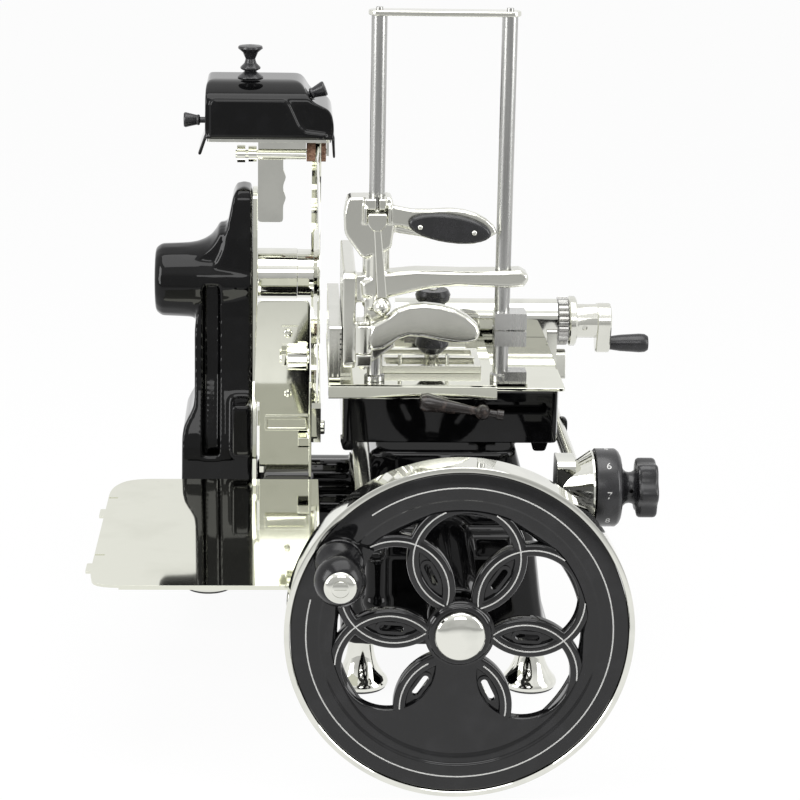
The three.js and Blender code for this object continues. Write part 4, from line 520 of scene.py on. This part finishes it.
steel = Finish("stainless")
grain = steel.noise(120, 5, (0.05, 1, 1), 0.6)
marks = steel.ramp(steel.noise(16, 3), 0.5, 0.8)
steel.set(Base_Color=steel.blend(marks, (0.76, 0.765, 0.67), (0.70, 0.705, 0.61)),
          Roughness=0.03 + grain * 0.02 + marks * 0.02, Metallic=1.0)
flare = turned("flare", "x", FLARE_CENTRE, [
    (0, -320), (46.5, -320), (47.2, -308), (49, -298), (52.4, -289), (57.6, -281), (65, -275),
    (74, -270), (74, -250), (0, -250)], 96)
combined(flare, [prism("trunk_side", "x", TRUNK_LINE, *TRUNK_SIDES)], "INTERSECT")
lining = prism("lining", "x", LINING_LINE, *LINING_SIDES)
fill = prism("fill", "x", FILL_LINE, *FILL_SIDES)
cast("column_casting", 2.1, 14, added=[flare, lining, fill],
     cutters=[prism("recess", "x", RECESS_LINE, *RECESS_SIDES)], finish="deep_enamel")
eased("column_cover", 0.6)

# Blade: a hollow-ground disc of tool steel on a bright bearing collar, with its ring guard, which
# a bolt holds. The guard keeps fingers off the rear half of the edge.
aluminium = Finish("cast_aluminium")
wave = aluminium.noise(30, 3)
aluminium.set(Base_Color=aluminium.blend(wave, (0.74, 0.74, 0.68), (0.66, 0.66, 0.60)),
              Roughness=0.10 + wave * 0.10, Metallic=1.0,
              Normal=aluminium.relief(wave, 0.05, 0.0008))
eased("blade_collar", 0.4)
eased("blade_shaft")
eased("blade", 0.1, 60)
GUARD_OUTER = 171
GUARD_INNER = 164
GUARD_START = -104
GUARD_END = 76
GUARD_SIDES = (-154, -142)


def arc(centre, radius, first, last, steps):
    """Points of an arc in a plane, between two angles in degrees."""
    angles = [math.radians(first + (last - first) * i / steps) for i in range(steps + 1)]
    return [(centre[0] + radius * math.cos(a), centre[1] + radius * math.sin(a)) for a in angles]


def slab(name, low, high):
    """A block between two corners in machine millimetres."""
    work = bmesh.new()
    bmesh.ops.create_cube(work, size=1.0)
    middle = (Vector(low) + Vector(high)) / 2
    extent = Vector(high) - Vector(low)
    for vert in work.verts:
        vert.co = at(*(middle + Vector(a * b for a, b in zip(vert.co, extent))))
    return meshed(name, work)


guard_line = (arc(BLADE_AXIS, GUARD_OUTER, GUARD_START, GUARD_END, 120)
              + arc(BLADE_AXIS, GUARD_INNER, GUARD_END, GUARD_START, 120))
guard = prism("blade_guard_ring", "x", guard_line, *GUARD_SIDES)
strap = slab("strap", (-154, 560, 234), (-142, 590, 284))
arm = slab("arm", (-222.4, 566, 254), (-150, 586, 274))
bolt = turned("bolt", "x", (0, 574, 250), [
    (0, -172), (8, -172), (9, -171), (9, -138), (8, -137), (0, -137)], 40)
combined(guard, [strap, arm, bolt], "UNION")
rounded(guard, 0.6)
fix(guard, BODY_OF["blade_guard"], SLOT_OF["blade_guard"], ["blade_guard"])

# Deflector and tray: bent steel sheets. The deflector lays each slice on the tray, and its fluted
# knob clamps it. Both are rolled smooth, so they mirror the column and the carriage.
eased("deflector_plate", 0.3, flatten=0)
eased("deflector_knob", 0.4)
SHEET_FRONT = 499
SCREW_X = -184
SCREWS = {"upper": (394, 5.4, 8.5), "lower": (316, 4.6, 3)}  # height, radius, how far proud
NICK_SHARE = 0.6
NICK_HALF = 0.6
for head, (head_z, head_radius, proud) in SCREWS.items():
    front_y = SHEET_FRONT - proud
    screw = turned("deflector_screw_" + head, "y", (SCREW_X, 0, head_z), [
        (0, front_y), (head_radius - 1.4, front_y + 0.1), (head_radius - 0.3, front_y + 0.8),
        (head_radius, front_y + 1.8), (head_radius, SHEET_FRONT + 0.5), (0, SHEET_FRONT + 0.5)], 40)
    reach = head_radius * NICK_SHARE
    nick = slab("nick", (SCREW_X - reach, front_y - 1, head_z - NICK_HALF),
                (SCREW_X + reach, front_y + 0.9, head_z + NICK_HALF))
    combined(screw, [nick], "DIFFERENCE")
    smoothed(screw, 40)
    fix(screw, BODY_OF["deflector_plate"], SLOT_OF["deflector_plate"])
eased("slice_tray", 0.6)

# Sharpener: two small grindstones on a steel frame under a black enamelled hood.
# A knob lifts the hood and two sprung buttons bring the stones to the edge.
stone = Finish("stone")
grains = stone.node("ShaderNodeTexVoronoi", {"feature": "F1"},
                    {"Vector": stone.place, "Scale": 900.0})
mixed = stone.ramp(stone.noise(500, 3), 0.4, 0.6)
stone.set(Base_Color=stone.blend(mixed, (0.17, 0.085, 0.055), (0.34, 0.20, 0.14)),
          Roughness=0.82 + mixed * 0.12, Normal=stone.relief(grains, 0.35, 0.0005))
eased("sharpener_frame", 0.5)
eased("left_stone", 0.3)
eased("right_stone", 0.3)
PANEL_LINE = [(-280, 628), (-138, 628), (-138, 632), (-163, 635), (-172, 642), (-178, 655),
              (-184, 668), (-190, 674), (-276, 674), (-280, 670)]
panel = prism("panel", "y", PANEL_LINE, 541.8, 548.8)
cast("sharpener_hood", 1.3, 16, added=[panel], finish="deep_enamel")
for node in ("hood_knob", "left_button", "right_button"):
    eased(node, 0.5, 24)

# Rails and thickness setting: a polished rail at the left, a control rod at the right, the
# conical block and the black moulded dial with its white figures and its star knob.
eased("left_rail", finish="cast_aluminium")
eased("feed_control_rod", finish="cast_aluminium")
eased("thickness_block", 0.8)
DIAL_AXIS = (120, 317)
DIAL_FACE = 43
FIGURES = "12345678"
FIGURE_STEP = 45
SEVEN_ANGLE = 5
FIGURE_SIZE = 11.5
FIGURE_X = 165
FIGURE_RAISE = 0.12
FIGURE_SINK = 0.02
STAR_LOBES = 6
STAR_DEPTH = 2.6
drum_body = turned("dial_drum", "x", (0, *DIAL_AXIS), [
    (12.3, 152.3), (DIAL_FACE - 0.8, 152.3), (DIAL_FACE, 153.1), (DIAL_FACE, 174.6),
    (DIAL_FACE - 0.8, 176), (DIAL_FACE - 3, 178.6), (DIAL_FACE - 6.5, 180.4), (25, 182.4),
    (20.5, 184.4), (17.8, 187.4), (17, 191), (17.6, 194.4), (19.6, 197.4), (23.5, 199.4),
    (27, 200.2), (0, 200.2), (0, 178.5), (12.3, 178.5)], 96)
star = turned("star_knob", "x", (0, *DIAL_AXIS), [
    (0, 198.6), (26.4, 198.6), (29.2, 199.4), (30.6, 201.2), (30.8, 204), (30.8, 216.6),
    (30.2, 219), (28.4, 220.6), (25.6, 221), (0, 221)], 96, STAR_LOBES, STAR_DEPTH)
combined(drum_body, [star], "UNION")
set_hole = turned("set_hole", "y", (192, 0, 318), [(0, 96), (2.3, 96), (2.3, 112), (0, 112)], 24)
combined(drum_body, [set_hole], "DIFFERENCE")
smoothed(drum_body, 36)
fix(drum_body, BODY_OF["thickness_dial"], SLOT_OF["thickness_dial"], ["thickness_dial"])
figure_white = Finish("figure_white")
chalk = figure_white.noise(500, 3)
figure_white.set(Base_Color=figure_white.blend(chalk, (0.62, 0.62, 0.61), (0.46, 0.46, 0.45)),
                 Roughness=0.5)
for figure in FIGURES:
    letter = bpy.data.curves.new("figure_" + figure, "FONT")
    letter.body = figure
    letter.size = FIGURE_SIZE
    letter.extrude = FIGURE_RAISE
    letter.align_x = "CENTER"
    letter.align_y = "CENTER"
    mark = new_piece("figure_" + figure, letter)
    bpy.context.evaluated_depsgraph_get().update()
    flat = bpy.data.meshes.new_from_object(mark)
    bpy.data.objects.remove(mark)
    middle_angle = SEVEN_ANGLE + (7 - int(figure)) * FIGURE_STEP
    for vert in flat.vertices:
        angle = math.radians(middle_angle) + vert.co.y / DIAL_FACE
        reach = DIAL_FACE + vert.co.z - FIGURE_SINK
        vert.co = at(FIGURE_X + vert.co.x, DIAL_AXIS[0] - reach * math.cos(angle),
                     DIAL_AXIS[1] + reach * math.sin(angle))
    fix(new_piece("dial_figure_" + figure, flat), BODY_OF["thickness_dial"],
        SLOT_OF["thickness_dial"], finish="figure_white")

# Carriage: an enamelled casting on the rails with a steel top plate, the slotted yoke that the
# crank drives, a roller and the lever that clamps it. A black sheet behind its front slot is
# painted shade, for the shade inside the slot.
lever = Finish("dark_lever")
rubbed = lever.ramp(lever.noise(70, 4), 0.5, 0.72)
lever.set(Base_Color=lever.blend(rubbed, (0.016, 0.013, 0.012), (0.07, 0.05, 0.042)),
          Roughness=0.22 + rubbed * 0.14, Normal=lever.relief(lever.noise(300, 3), 0.06, 0.0005))
eased("carriage_body", 1.2, finish="deep_enamel")
# Painted shade: a black sheet put behind the front slot, where there is only shade.
slot_shade_sheet = slab("slot_painted_shade", (40, 330, 340), (124, 332, 366))
fix(slot_shade_sheet, BODY_OF["carriage_body"], SLOT_OF["carriage_body"], finish="deep_enamel")
eased("carriage_plate", 0.6)
eased("crank_yoke")
eased("carriage_roller")
eased("clamp_lever", 0.6)

# Feed: a screw under an inverted trough of steel, its ratchet wheel, and the small crank with its
# black grip, held by a bracket. Its nut moves the meat table.
eased("screw_cover", 0.6)
eased("feed_bracket", 0.6)
eased("feed_screw")
eased("feed_crank", 0.9)
eased("feed_crank_grip", 0.4)
eased("feed_nut")

# Meat table: a steel sheet with an apron, a grooved fence, two ground posts with their top bar,
# and the pin frame with its spool knob that grips the meat.
eased("meat_table", 0.6)
APRON_LINE = [(303.4, 380), (302.7, 379), (300.9, 367), (301, 365.6), (303.4, 365.6)]
apron = prism("table_apron", "x", APRON_LINE, -136.8, 59)
rounded(apron, 0)
fix(apron, BODY_OF["meat_table"], SLOT_OF["meat_table"])
eased("fence", 0.6)
CLAMP_SIDE = ZERO.x + 0.05  # in metres, like the other two: the bright block on the right post
CLAMP_FOOT = 0.4255
CLAMP_HEAD = 0.4655
CLAMP_BRIGHTER = 0.8
ground = Finish("ground_steel")
# The vertical streaks in this colour are painted reflections of the dark room in front; the same
# noise also varies the roughness, as grinding does.
grain_and_reflection_streaks = ground.noise(260, 4, (1, 1, 0.03))
across = ground.node("ShaderNodeSeparateXYZ", {}, {"Vector": ground.place}, "X")
height = ground.node("ShaderNodeSeparateXYZ", {}, {"Vector": ground.place}, "Z")
clamp_block = (across > CLAMP_SIDE) * (height > CLAMP_FOOT) * (height < CLAMP_HEAD)
# In the band of the clamp block on the right post the painted dark streaks are mostly left off, so
# the post is pale there.
painted_reflection_streaks = grain_and_reflection_streaks * (1 - CLAMP_BRIGHTER * clamp_block)
ground.set(Base_Color=ground.blend(painted_reflection_streaks, (0.66, 0.66, 0.64), (0.19, 0.19, 0.185)),
           Roughness=0.2 + grain_and_reflection_streaks * 0.12, Metallic=1.0)
for node in ("post_left", "post_right"):
    eased(node, 0.4, finish="ground_steel")
eased("top_bar", 0.6)
eased("grip_frame", 0.5)
eased("frame_knob", 0.5)

# Press: one polished casting that slides on both posts, its black oval grip, the release lever
# with its ball, and the lower handle.
cast("press_column", 1.1, 7)
eased("handle_grip", 1.2)
GRIP_RIVETS = ((-34, 568), (28, 562))
for rivet, (rivet_x, rivet_z) in enumerate(GRIP_RIVETS):
    head = turned("grip_rivet_" + str(rivet), "y", (rivet_x, 0, rivet_z),
                  [(0, 301.6), (1.6, 301.7), (2.6, 302.1), (3.1, 302.9), (3.1, 306), (0, 306)], 32)
    rounded(head, 0)
    fix(head, BODY_OF["handle_grip"], SLOT_OF["press_column"])
eased("release_lever", 0.9)
cast("lower_handle", 1.1, 7)

# Flywheel: an iron casting of six overlapping hoops in a ring, enamelled, with a turned bright
# rim and a bright hub cap. Slots pierce the lenses where two hoops cross. One petal is solid and
# carries the balance weight.
AXLE_Z = 193
WHEEL_CENTRE = (0, 0, AXLE_Z)
RING_FACE = -7
HOOP_FACE = -5
DISC_BACK = 8
HOOP_CENTRES = 84
HOOP_INNER = 50
HOOP_OUTER = 64
STRIPE_RADIUS = 57
HOOPS = 6
HOOP_STEP = 60
HOOP_TURN = 26
SOLID_HOOP = 4
LENS_REACH = HOOP_CENTRES * math.cos(math.pi / 6)
LENS_TURN = HOOP_TURN + 30
CRANK_ANGLE = 147.4
CRANK_REACH = 153.3
HOOP_STEPS = 120
RING_STEPS = 216
RIM_STEPS = 288


def around(radius, degrees, y=0.0):
    """A place on the wheel, by its distance from the axle and its angle."""
    angle = math.radians(degrees)
    return (radius * math.cos(angle), y, AXLE_Z + radius * math.sin(angle))


def stadium(centre, length, width, degrees, steps=8):
    """The outline of a slot with round ends, turned by an angle."""
    angle = math.radians(degrees)
    reach = (length - width) / 2
    outline = []
    for end, first in ((1, -90), (-1, 90)):
        for i in range(steps + 1):
            a = math.radians(first + 180 * i / steps)
            u, v = end * reach + width / 2 * math.cos(a), width / 2 * math.sin(a)
            outline.append((centre[0] + u * math.cos(angle) - v * math.sin(angle),
                            centre[1] + u * math.sin(angle) + v * math.cos(angle)))
    return outline


def hoop_centre(k):
    return around(HOOP_CENTRES, HOOP_TURN + HOOP_STEP * k)


def drum(k, radius, low, high):
    """A solid disc about a hoop's centre."""
    return turned("drum", "y", hoop_centre(k),
                  [(0, low), (radius, low), (radius, high), (0, high)], HOOP_STEPS)


def slot_form(name, k, length, width, low, high):
    """A form with round ends along the lens where a hoop crosses the next one."""
    turn = LENS_TURN + HOOP_STEP * k
    x, _, z = around(LENS_REACH, turn)
    return prism(name, "y", stadium((x, z), length, width, turn), low, high)


HOOP_SECTION = [(HOOP_INNER, DISC_BACK), (HOOP_INNER, -1.8), (50.5, -3.4), (51.5, -4.5),
                (53.2, HOOP_FACE), (60.8, HOOP_FACE), (62.5, -4.5), (63.5, -3.4),
                (HOOP_OUTER, -1.8), (HOOP_OUTER, DISC_BACK)]
RING_SECTION = [(130, DISC_BACK), (130, 2.5), (131.5, 0.5), (136, -2.8), (141, HOOP_FACE),
                (147.6, HOOP_FACE), (149.4, -5.5), (150.2, -6.5), (151.6, RING_FACE),
                (178.4, RING_FACE), (179.6, -6.6), (180.1, -5.4), (180.1, 11.6), (140, 11.6)]
disc = turned("flywheel_casting", "y", WHEEL_CENTRE, RING_SECTION, RING_STEPS, loop=True)
hoops = [turned("hoop", "y", hoop_centre(k), HOOP_SECTION, HOOP_STEPS, loop=True)
         for k in range(HOOPS)]
webs = []
for k in range(HOOPS):
    lens = combined(drum(k, HOOP_INNER + 1, 0.5, 5),
                    [drum((k + 1) % HOOPS, HOOP_INNER + 1, 0, 6)], "INTERSECT")
    webs.append(combined(lens, [slot_form("slot_collar", k, 34, 14, -1.4, 5)], "UNION"))
solid_angle = HOOP_TURN + HOOP_STEP * SOLID_HOOP
edge_places = (around(140, solid_angle + a) for a in range(-46, 47, 4))
wedge = [(0, AXLE_Z)] + [(x, z) for x, _, z in edge_places]
field = combined(prism("field", "y", wedge, HOOP_FACE, DISC_BACK),
                 [drum(SOLID_HOOP, STRIPE_RADIUS, HOOP_FACE, DISC_BACK)], "UNION")
beside = [drum(k, HOOP_INNER + 1, -20, 20) for k in (SOLID_HOOP - 1, SOLID_HOOP + 1)]
field = combined(field, beside, "DIFFERENCE")
hub = turned("hub", "y", WHEEL_CENTRE, [
    (0, -9.8), (28.2, -9.8), (30, -10), (32.2, -9.3), (33.6, -7.6), (34.4, -5.8), (37.5, -4.9),
    (37.5, 0), (33, 4), (33, 19.8), (0, 19.8)], 96)
crank_place = around(CRANK_REACH, CRANK_ANGLE)
boss = turned("crank_boss", "y", crank_place, [
    (0, -12.8), (22.6, -12.8), (24.4, -12.2), (25.4, -10.6), (26.4, -8), (28.4, -5), (28.4, 6),
    (0, 6)], 72)
inside = turned("inside", "y", WHEEL_CENTRE, [(0, -20), (137, -20), (137, 30), (0, 30)], RING_STEPS)
flower = combined(combined(hoops[0], hoops[1:] + webs + [field], "UNION"), [inside], "INTERSECT")
SEAT_CORNERS = ((132, -13), (176, -7), (179, 0), (176, 7), (132, 13))
seat_places = (around(reach, CRANK_ANGLE + aside) for reach, aside in SEAT_CORNERS)
flats = prism("crank_flats", "y", [(x, z) for x, _, z in seat_places], -9.4, 6)
disc = combined(disc, [flower, hub, flats, boss], "UNION")
slots = [slot_form("slot", k, 26, 7, -20, 20) for k in range(HOOPS)]
bore = turned("bore", "y", WHEEL_CENTRE, [(0, -30), (12.3, -30), (12.3, 30), (0, 30)], 48)
pin_bore = turned("pin_bore", "y", crank_place, [(0, -30), (6.3, -30), (6.3, 30), (0, 30)], 32)
disc = combined(disc, slots + [bore, pin_bore], "DIFFERENCE")
smoothed(disc, 50)
fix(disc, "flywheel", "black_enamel", ["flywheel_disc"])
rim = turned("flywheel_rim_turned", "y", WHEEL_CENTRE, [
    (180.5, -8.2), (181.2, -9), (185.2, -9), (186.4, -8.4), (186.8, -7.2), (186.8, 27.4),
    (186.2, 28.8), (184, 29), (180.5, 29)], RIM_STEPS, loop=True)
rounded(rim, 0)
fix(rim, "flywheel", SLOT_OF["flywheel_rim"], ["flywheel_rim"])
cap = turned("hub_cap", "y", WHEEL_CENTRE, [
    (0, -10.3), (27.2, -10.3), (27.2, -13), (26.6, -14.4), (25, -15.8), (21, -17.8),
    (14, -19.4), (7, -20.1), (0, -20.3)], 96)
smoothed(cap, 50)
fix(cap, "flywheel", SLOT_OF["flywheel_cap"], ["flywheel_cap"])

# The stripes: silver paint, laid by hand along the middle of each hoop and round the ring. A
# stripe stops short of the hub, of the ring and of the crank's seat, as the painter's brush did.
RING_STRIPE = 163.5
RING_STRIPE_START = 166
RING_STRIPE_SWEEP = 319.5
RING_STRIPE_STEPS = 160
STRIPE_WIDTH = 1.5
STRIPE_RAISE = 0.05
STROKE_STEP = 2.5
silver = Finish("silver_stripe")
brushed = silver.ramp(silver.noise(600, 3), 0.3, 0.8)
silver.set(Base_Color=silver.blend(brushed, (0.50, 0.50, 0.485), (0.40, 0.40, 0.385)),
           Roughness=0.34 + brushed * 0.1)
line = Graph(bpy.data.node_groups.new("painted_lines", "GeometryNodeTree"))
strokes, _ = named_input(line, "Path", "NodeSocketGeometry")
width, width_id = named_input(line, "Width", "NodeSocketFloat")
rounding = line.node("GeometryNodeCurvePrimitiveCircle", {"mode": "RADIUS"},
                     {"Resolution": 8, "Radius": width * 0.5})
drawn = line.node("GeometryNodeCurveToMesh", {}, {
    "Curve": line.node("GeometryNodeMeshToCurve", {}, {"Mesh": strokes}), "Profile Curve": rounding,
    "Fill Caps": True})
close_geometry(line, drawn, "silver_stripe")


def hoop_arc(k, first, last):
    """A stroke on one hoop, between two angles measured from the outward direction."""
    x, _, z = hoop_centre(k)
    outward = HOOP_TURN + HOOP_STEP * k
    steps = max(2, round(abs(last - first) / STROKE_STEP))
    places = []
    for i in range(steps + 1):
        angle = math.radians(outward + first + (last - first) * i / steps)
        places.append((x + STRIPE_RADIUS * math.cos(angle), HOOP_FACE - STRIPE_RAISE,
                       z + STRIPE_RADIUS * math.sin(angle)))
    return places


strands = [[around(RING_STRIPE, RING_STRIPE_START + (RING_STRIPE_SWEEP * i / RING_STRIPE_STEPS),
                   RING_FACE - STRIPE_RAISE) for i in range(RING_STRIPE_STEPS + 1)]]
for k in range(HOOPS):
    if k == SOLID_HOOP:
        strands += [hoop_arc(k, -84, -148), hoop_arc(k, 84, 150)]
        continue
    if k != SOLID_HOOP + 1:
        strands.append(hoop_arc(k, -28, -160.2))
    if k != SOLID_HOOP - 1:
        strands.append(hoop_arc(k, 28, 160.2))
grown("stripes", path_mesh("stripes", strands), line, {width_id: STRIPE_WIDTH * MM},
      "flywheel", SLOT_OF["flywheel_rim"], finish="silver_stripe")

# Crank handle: a black turned grip that spins on a steel spindle, with a bright cap and its screw.
# The bulb fits the palm; the neck leaves room for the fingers.
handle = Finish("dark_grip")
held = handle.ramp(handle.noise(50, 3), 0.4, 0.7)
handle.set(Base_Color=handle.blend(held, (0.004, 0.004, 0.0045), (0.007, 0.007, 0.008)),
           Roughness=0.22 - held * 0.08, Specular_IOR_Level=0.3,
           Normal=handle.relief(handle.noise(500, 2), 0.03, 0.0004))
grip = turned("crank_grip_turned", "y", crank_place, [
    (0, -13.4), (23.6, -13.4), (25.4, -14.6), (25.8, -17.2), (24.6, -21), (21, -27), (17.9, -34),
    (17.2, -40), (18.4, -46), (21.6, -52.4), (24.8, -58.6), (26.7, -64.6), (27, -70),
    (25.9, -75.4), (23.2, -80.4), (19.8, -84.6), (17.6, -86.6), (16.8, -87.2), (0, -87.2)], 96)
smoothed(grip, 50)
fix(grip, "crank_grip", "black_plastic", ["crank_grip"], "dark_grip")
spindle_cap = turned("spindle_cap", "y", crank_place, [
    (0, -87.5), (16.6, -87.5), (17, -88), (17, -89.2), (16.2, -90.6), (14, -92), (11, -92.9),
    (9.3, -93.2), (9.3, -92.2), (8.5, -92.2), (8.5, -93.6), (7.8, -94), (0, -94)], 72)
crank_x, _, crank_z = crank_place
notch = slab("notch", (crank_x - 6.4, -96, crank_z - 0.7), (crank_x + 6.4, -93.1, crank_z + 0.7))
combined(spindle_cap, [notch], "DIFFERENCE")
bar = turned("spindle_bar", "y", crank_place, [(0, 14), (6, 14), (6, -88), (0, -88)], 32)
combined(spindle_cap, [bar], "UNION")
smoothed(spindle_cap, 40)
fix(spindle_cap, "flywheel", SLOT_OF["crank_spindle"], ["crank_spindle"])

# Floor: an endless white sweep. The camera and the polished metal see it white, darker far in
# front where the room is, and soft shadows of the feet stay on it.
FLOOR_REACH = 12
FLOOR_DROP = 0.0005
NEAR_LIGHT = -1.1
FAR_LIGHT = -2.1
FAR_SHARE = 0.5
SHADOW_SHARE = 0.06
floor_mesh = bpy.data.meshes.new("floor")
floor_corners = [(x * FLOOR_REACH, y * FLOOR_REACH, 0)
                 for x, y in ((-1, -1), (1, -1), (1, 1), (-1, 1))]
floor_mesh.from_pydata(floor_corners, [], [(0, 1, 2, 3)])
floor = new_piece("floor", floor_mesh)
floor.location.z = -FLOOR_DROP
white = Finish("floor_white")
white.set(Base_Color=(0.86, 0.86, 0.86, 1), Roughness=0.6)
floor_mesh.materials.append(white.material)
depth = white.node("ShaderNodeSeparateXYZ", {}, {"Vector": white.place}, 1)
near = white.ramp(depth, FAR_LIGHT, NEAR_LIGHT)
camera_ray = white.node("ShaderNodeLightPath", {}, {}, "Is Camera Ray")
mirror_ray = white.node("ShaderNodeLightPath", {}, {}, "Is Glossy Ray")
glow = white.node("ShaderNodeEmission", {}, {
    "Strength": camera_ray + mirror_ray * (FAR_SHARE + near * (1 - FAR_SHARE))}, 0)
shown = white.node("ShaderNodeMixShader", {}, {
    0: camera_ray * (1 - SHADOW_SHARE) + mirror_ray,
    1: Value(white, white.shader.outputs[0]), 2: glow})
white.tree.links.new(shown.socket, white.tree.nodes["Material Output"].inputs["Surface"])

# Room: white to the camera and to mirrors, with a darker side in front where nothing is lit,
# and pale for all other light.
DARK_SIDE = 0.6
DARK_FROM = -0.15
DARK_WHOLLY = -0.55
CEILING_FROM = 0.35
CEILING_WHOLLY = 0.65
PALE = 0.55
PATCHES = 0.5
PATCH_SCALE = 2.6
world = bpy.data.worlds.new("studio_world")
world.use_nodes = True
bpy.context.scene.world = world
room = Graph(world.node_tree)
way = room.node("ShaderNodeTexCoord", {}, {}, "Generated")
aside = room.node("ShaderNodeSeparateXYZ", {}, {"Vector": way}, "Y")
front = room.node("ShaderNodeMapRange", {"clamp": True}, {
    "Value": aside, "From Min": DARK_WHOLLY, "From Max": DARK_FROM,
    "To Min": DARK_SIDE, "To Max": 1.0})
height = room.node("ShaderNodeSeparateXYZ", {}, {"Vector": way}, "Z")
above = room.node("ShaderNodeMapRange", {"clamp": True}, {
    "Value": height, "From Min": CEILING_FROM, "From Max": CEILING_WHOLLY,
    "To Min": 0.0, "To Max": 1.0})
seen = room.node("ShaderNodeLightPath", {}, {}, "Is Camera Ray")
mirrored = room.node("ShaderNodeLightPath", {}, {}, "Is Glossy Ray")
patches = room.node("ShaderNodeTexNoise", {"noise_dimensions": "3D"},
                    {"Vector": way, "Scale": PATCH_SCALE, "Detail": 1.5})
mirror_light = (front + above * (1 - front)) * (1 + (patches - 0.5) * PATCHES)
light = seen + mirrored * mirror_light + (1 - seen) * (1 - mirrored) * PALE
world.node_tree.nodes["Background"].inputs["Color"].default_value = (1, 1, 1, 1)
room.feed(world.node_tree.nodes["Background"].inputs["Strength"], light)


# Lamps: a broad soft light above, and soft walls at the left, the right and in front. Their
# places are in metres, and each is turned towards the middle of the machine.
def softbox(name, place, aim, size, power):
    """A rectangular lamp at a place, turned towards another."""
    data = bpy.data.lights.new(name, "AREA")
    data.shape = "RECTANGLE"
    data.size, data.size_y = size
    data.energy = power
    lamp = bpy.data.objects.new(name, data)
    look = (Vector(aim) - Vector(place)).to_track_quat("-Z", "Y").to_matrix().to_4x4()
    lamp.matrix_world = Matrix.Translation(Vector(place)) @ look
    bpy.context.scene.collection.objects.link(lamp)


softbox("top_light", (0.1, -0.3, 2.3), (0, 0, 0.3), (2.2, 1.8), 36)
softbox("left_light", (-2.2, -1.2, 1.3), (0, 0, 0.4), (1.2, 1.8), 42)
softbox("right_light", (2.2, -1.0, 1.2), (0, 0, 0.4), (1.0, 1.8), 26)
softbox("front_light", (0.2, -3.2, 1.9), (0, 0, 0.3), (1.6, 0.8), 14)

# Camera: it stands 2.7 m from the wheel with a long lens, a little to its left and above it.
# Its place and its turn are those that the lines of the photograph give.
LENS = 112.5
camera_data = bpy.data.cameras.new("studio_camera")
camera_data.sensor_width = 36
camera_data.lens = LENS
camera_data.clip_end = 50
camera = bpy.data.objects.new("studio_camera", camera_data)
right = Vector((0.99901, -0.04129, 0.01679)).normalized()
forward = Vector((0.0443, 0.9609, -0.2733)).normalized()
up = right.cross(forward).normalized()
turn = Matrix((right, up, -forward)).transposed().to_4x4()
camera.matrix_world = Matrix.Translation(at(-182.3, -2485.7, 1156.8)) @ turn
bpy.context.scene.collection.objects.link(camera)
bpy.context.scene.camera = camera

bpy.context.scene.view_settings.view_transform = "Standard"
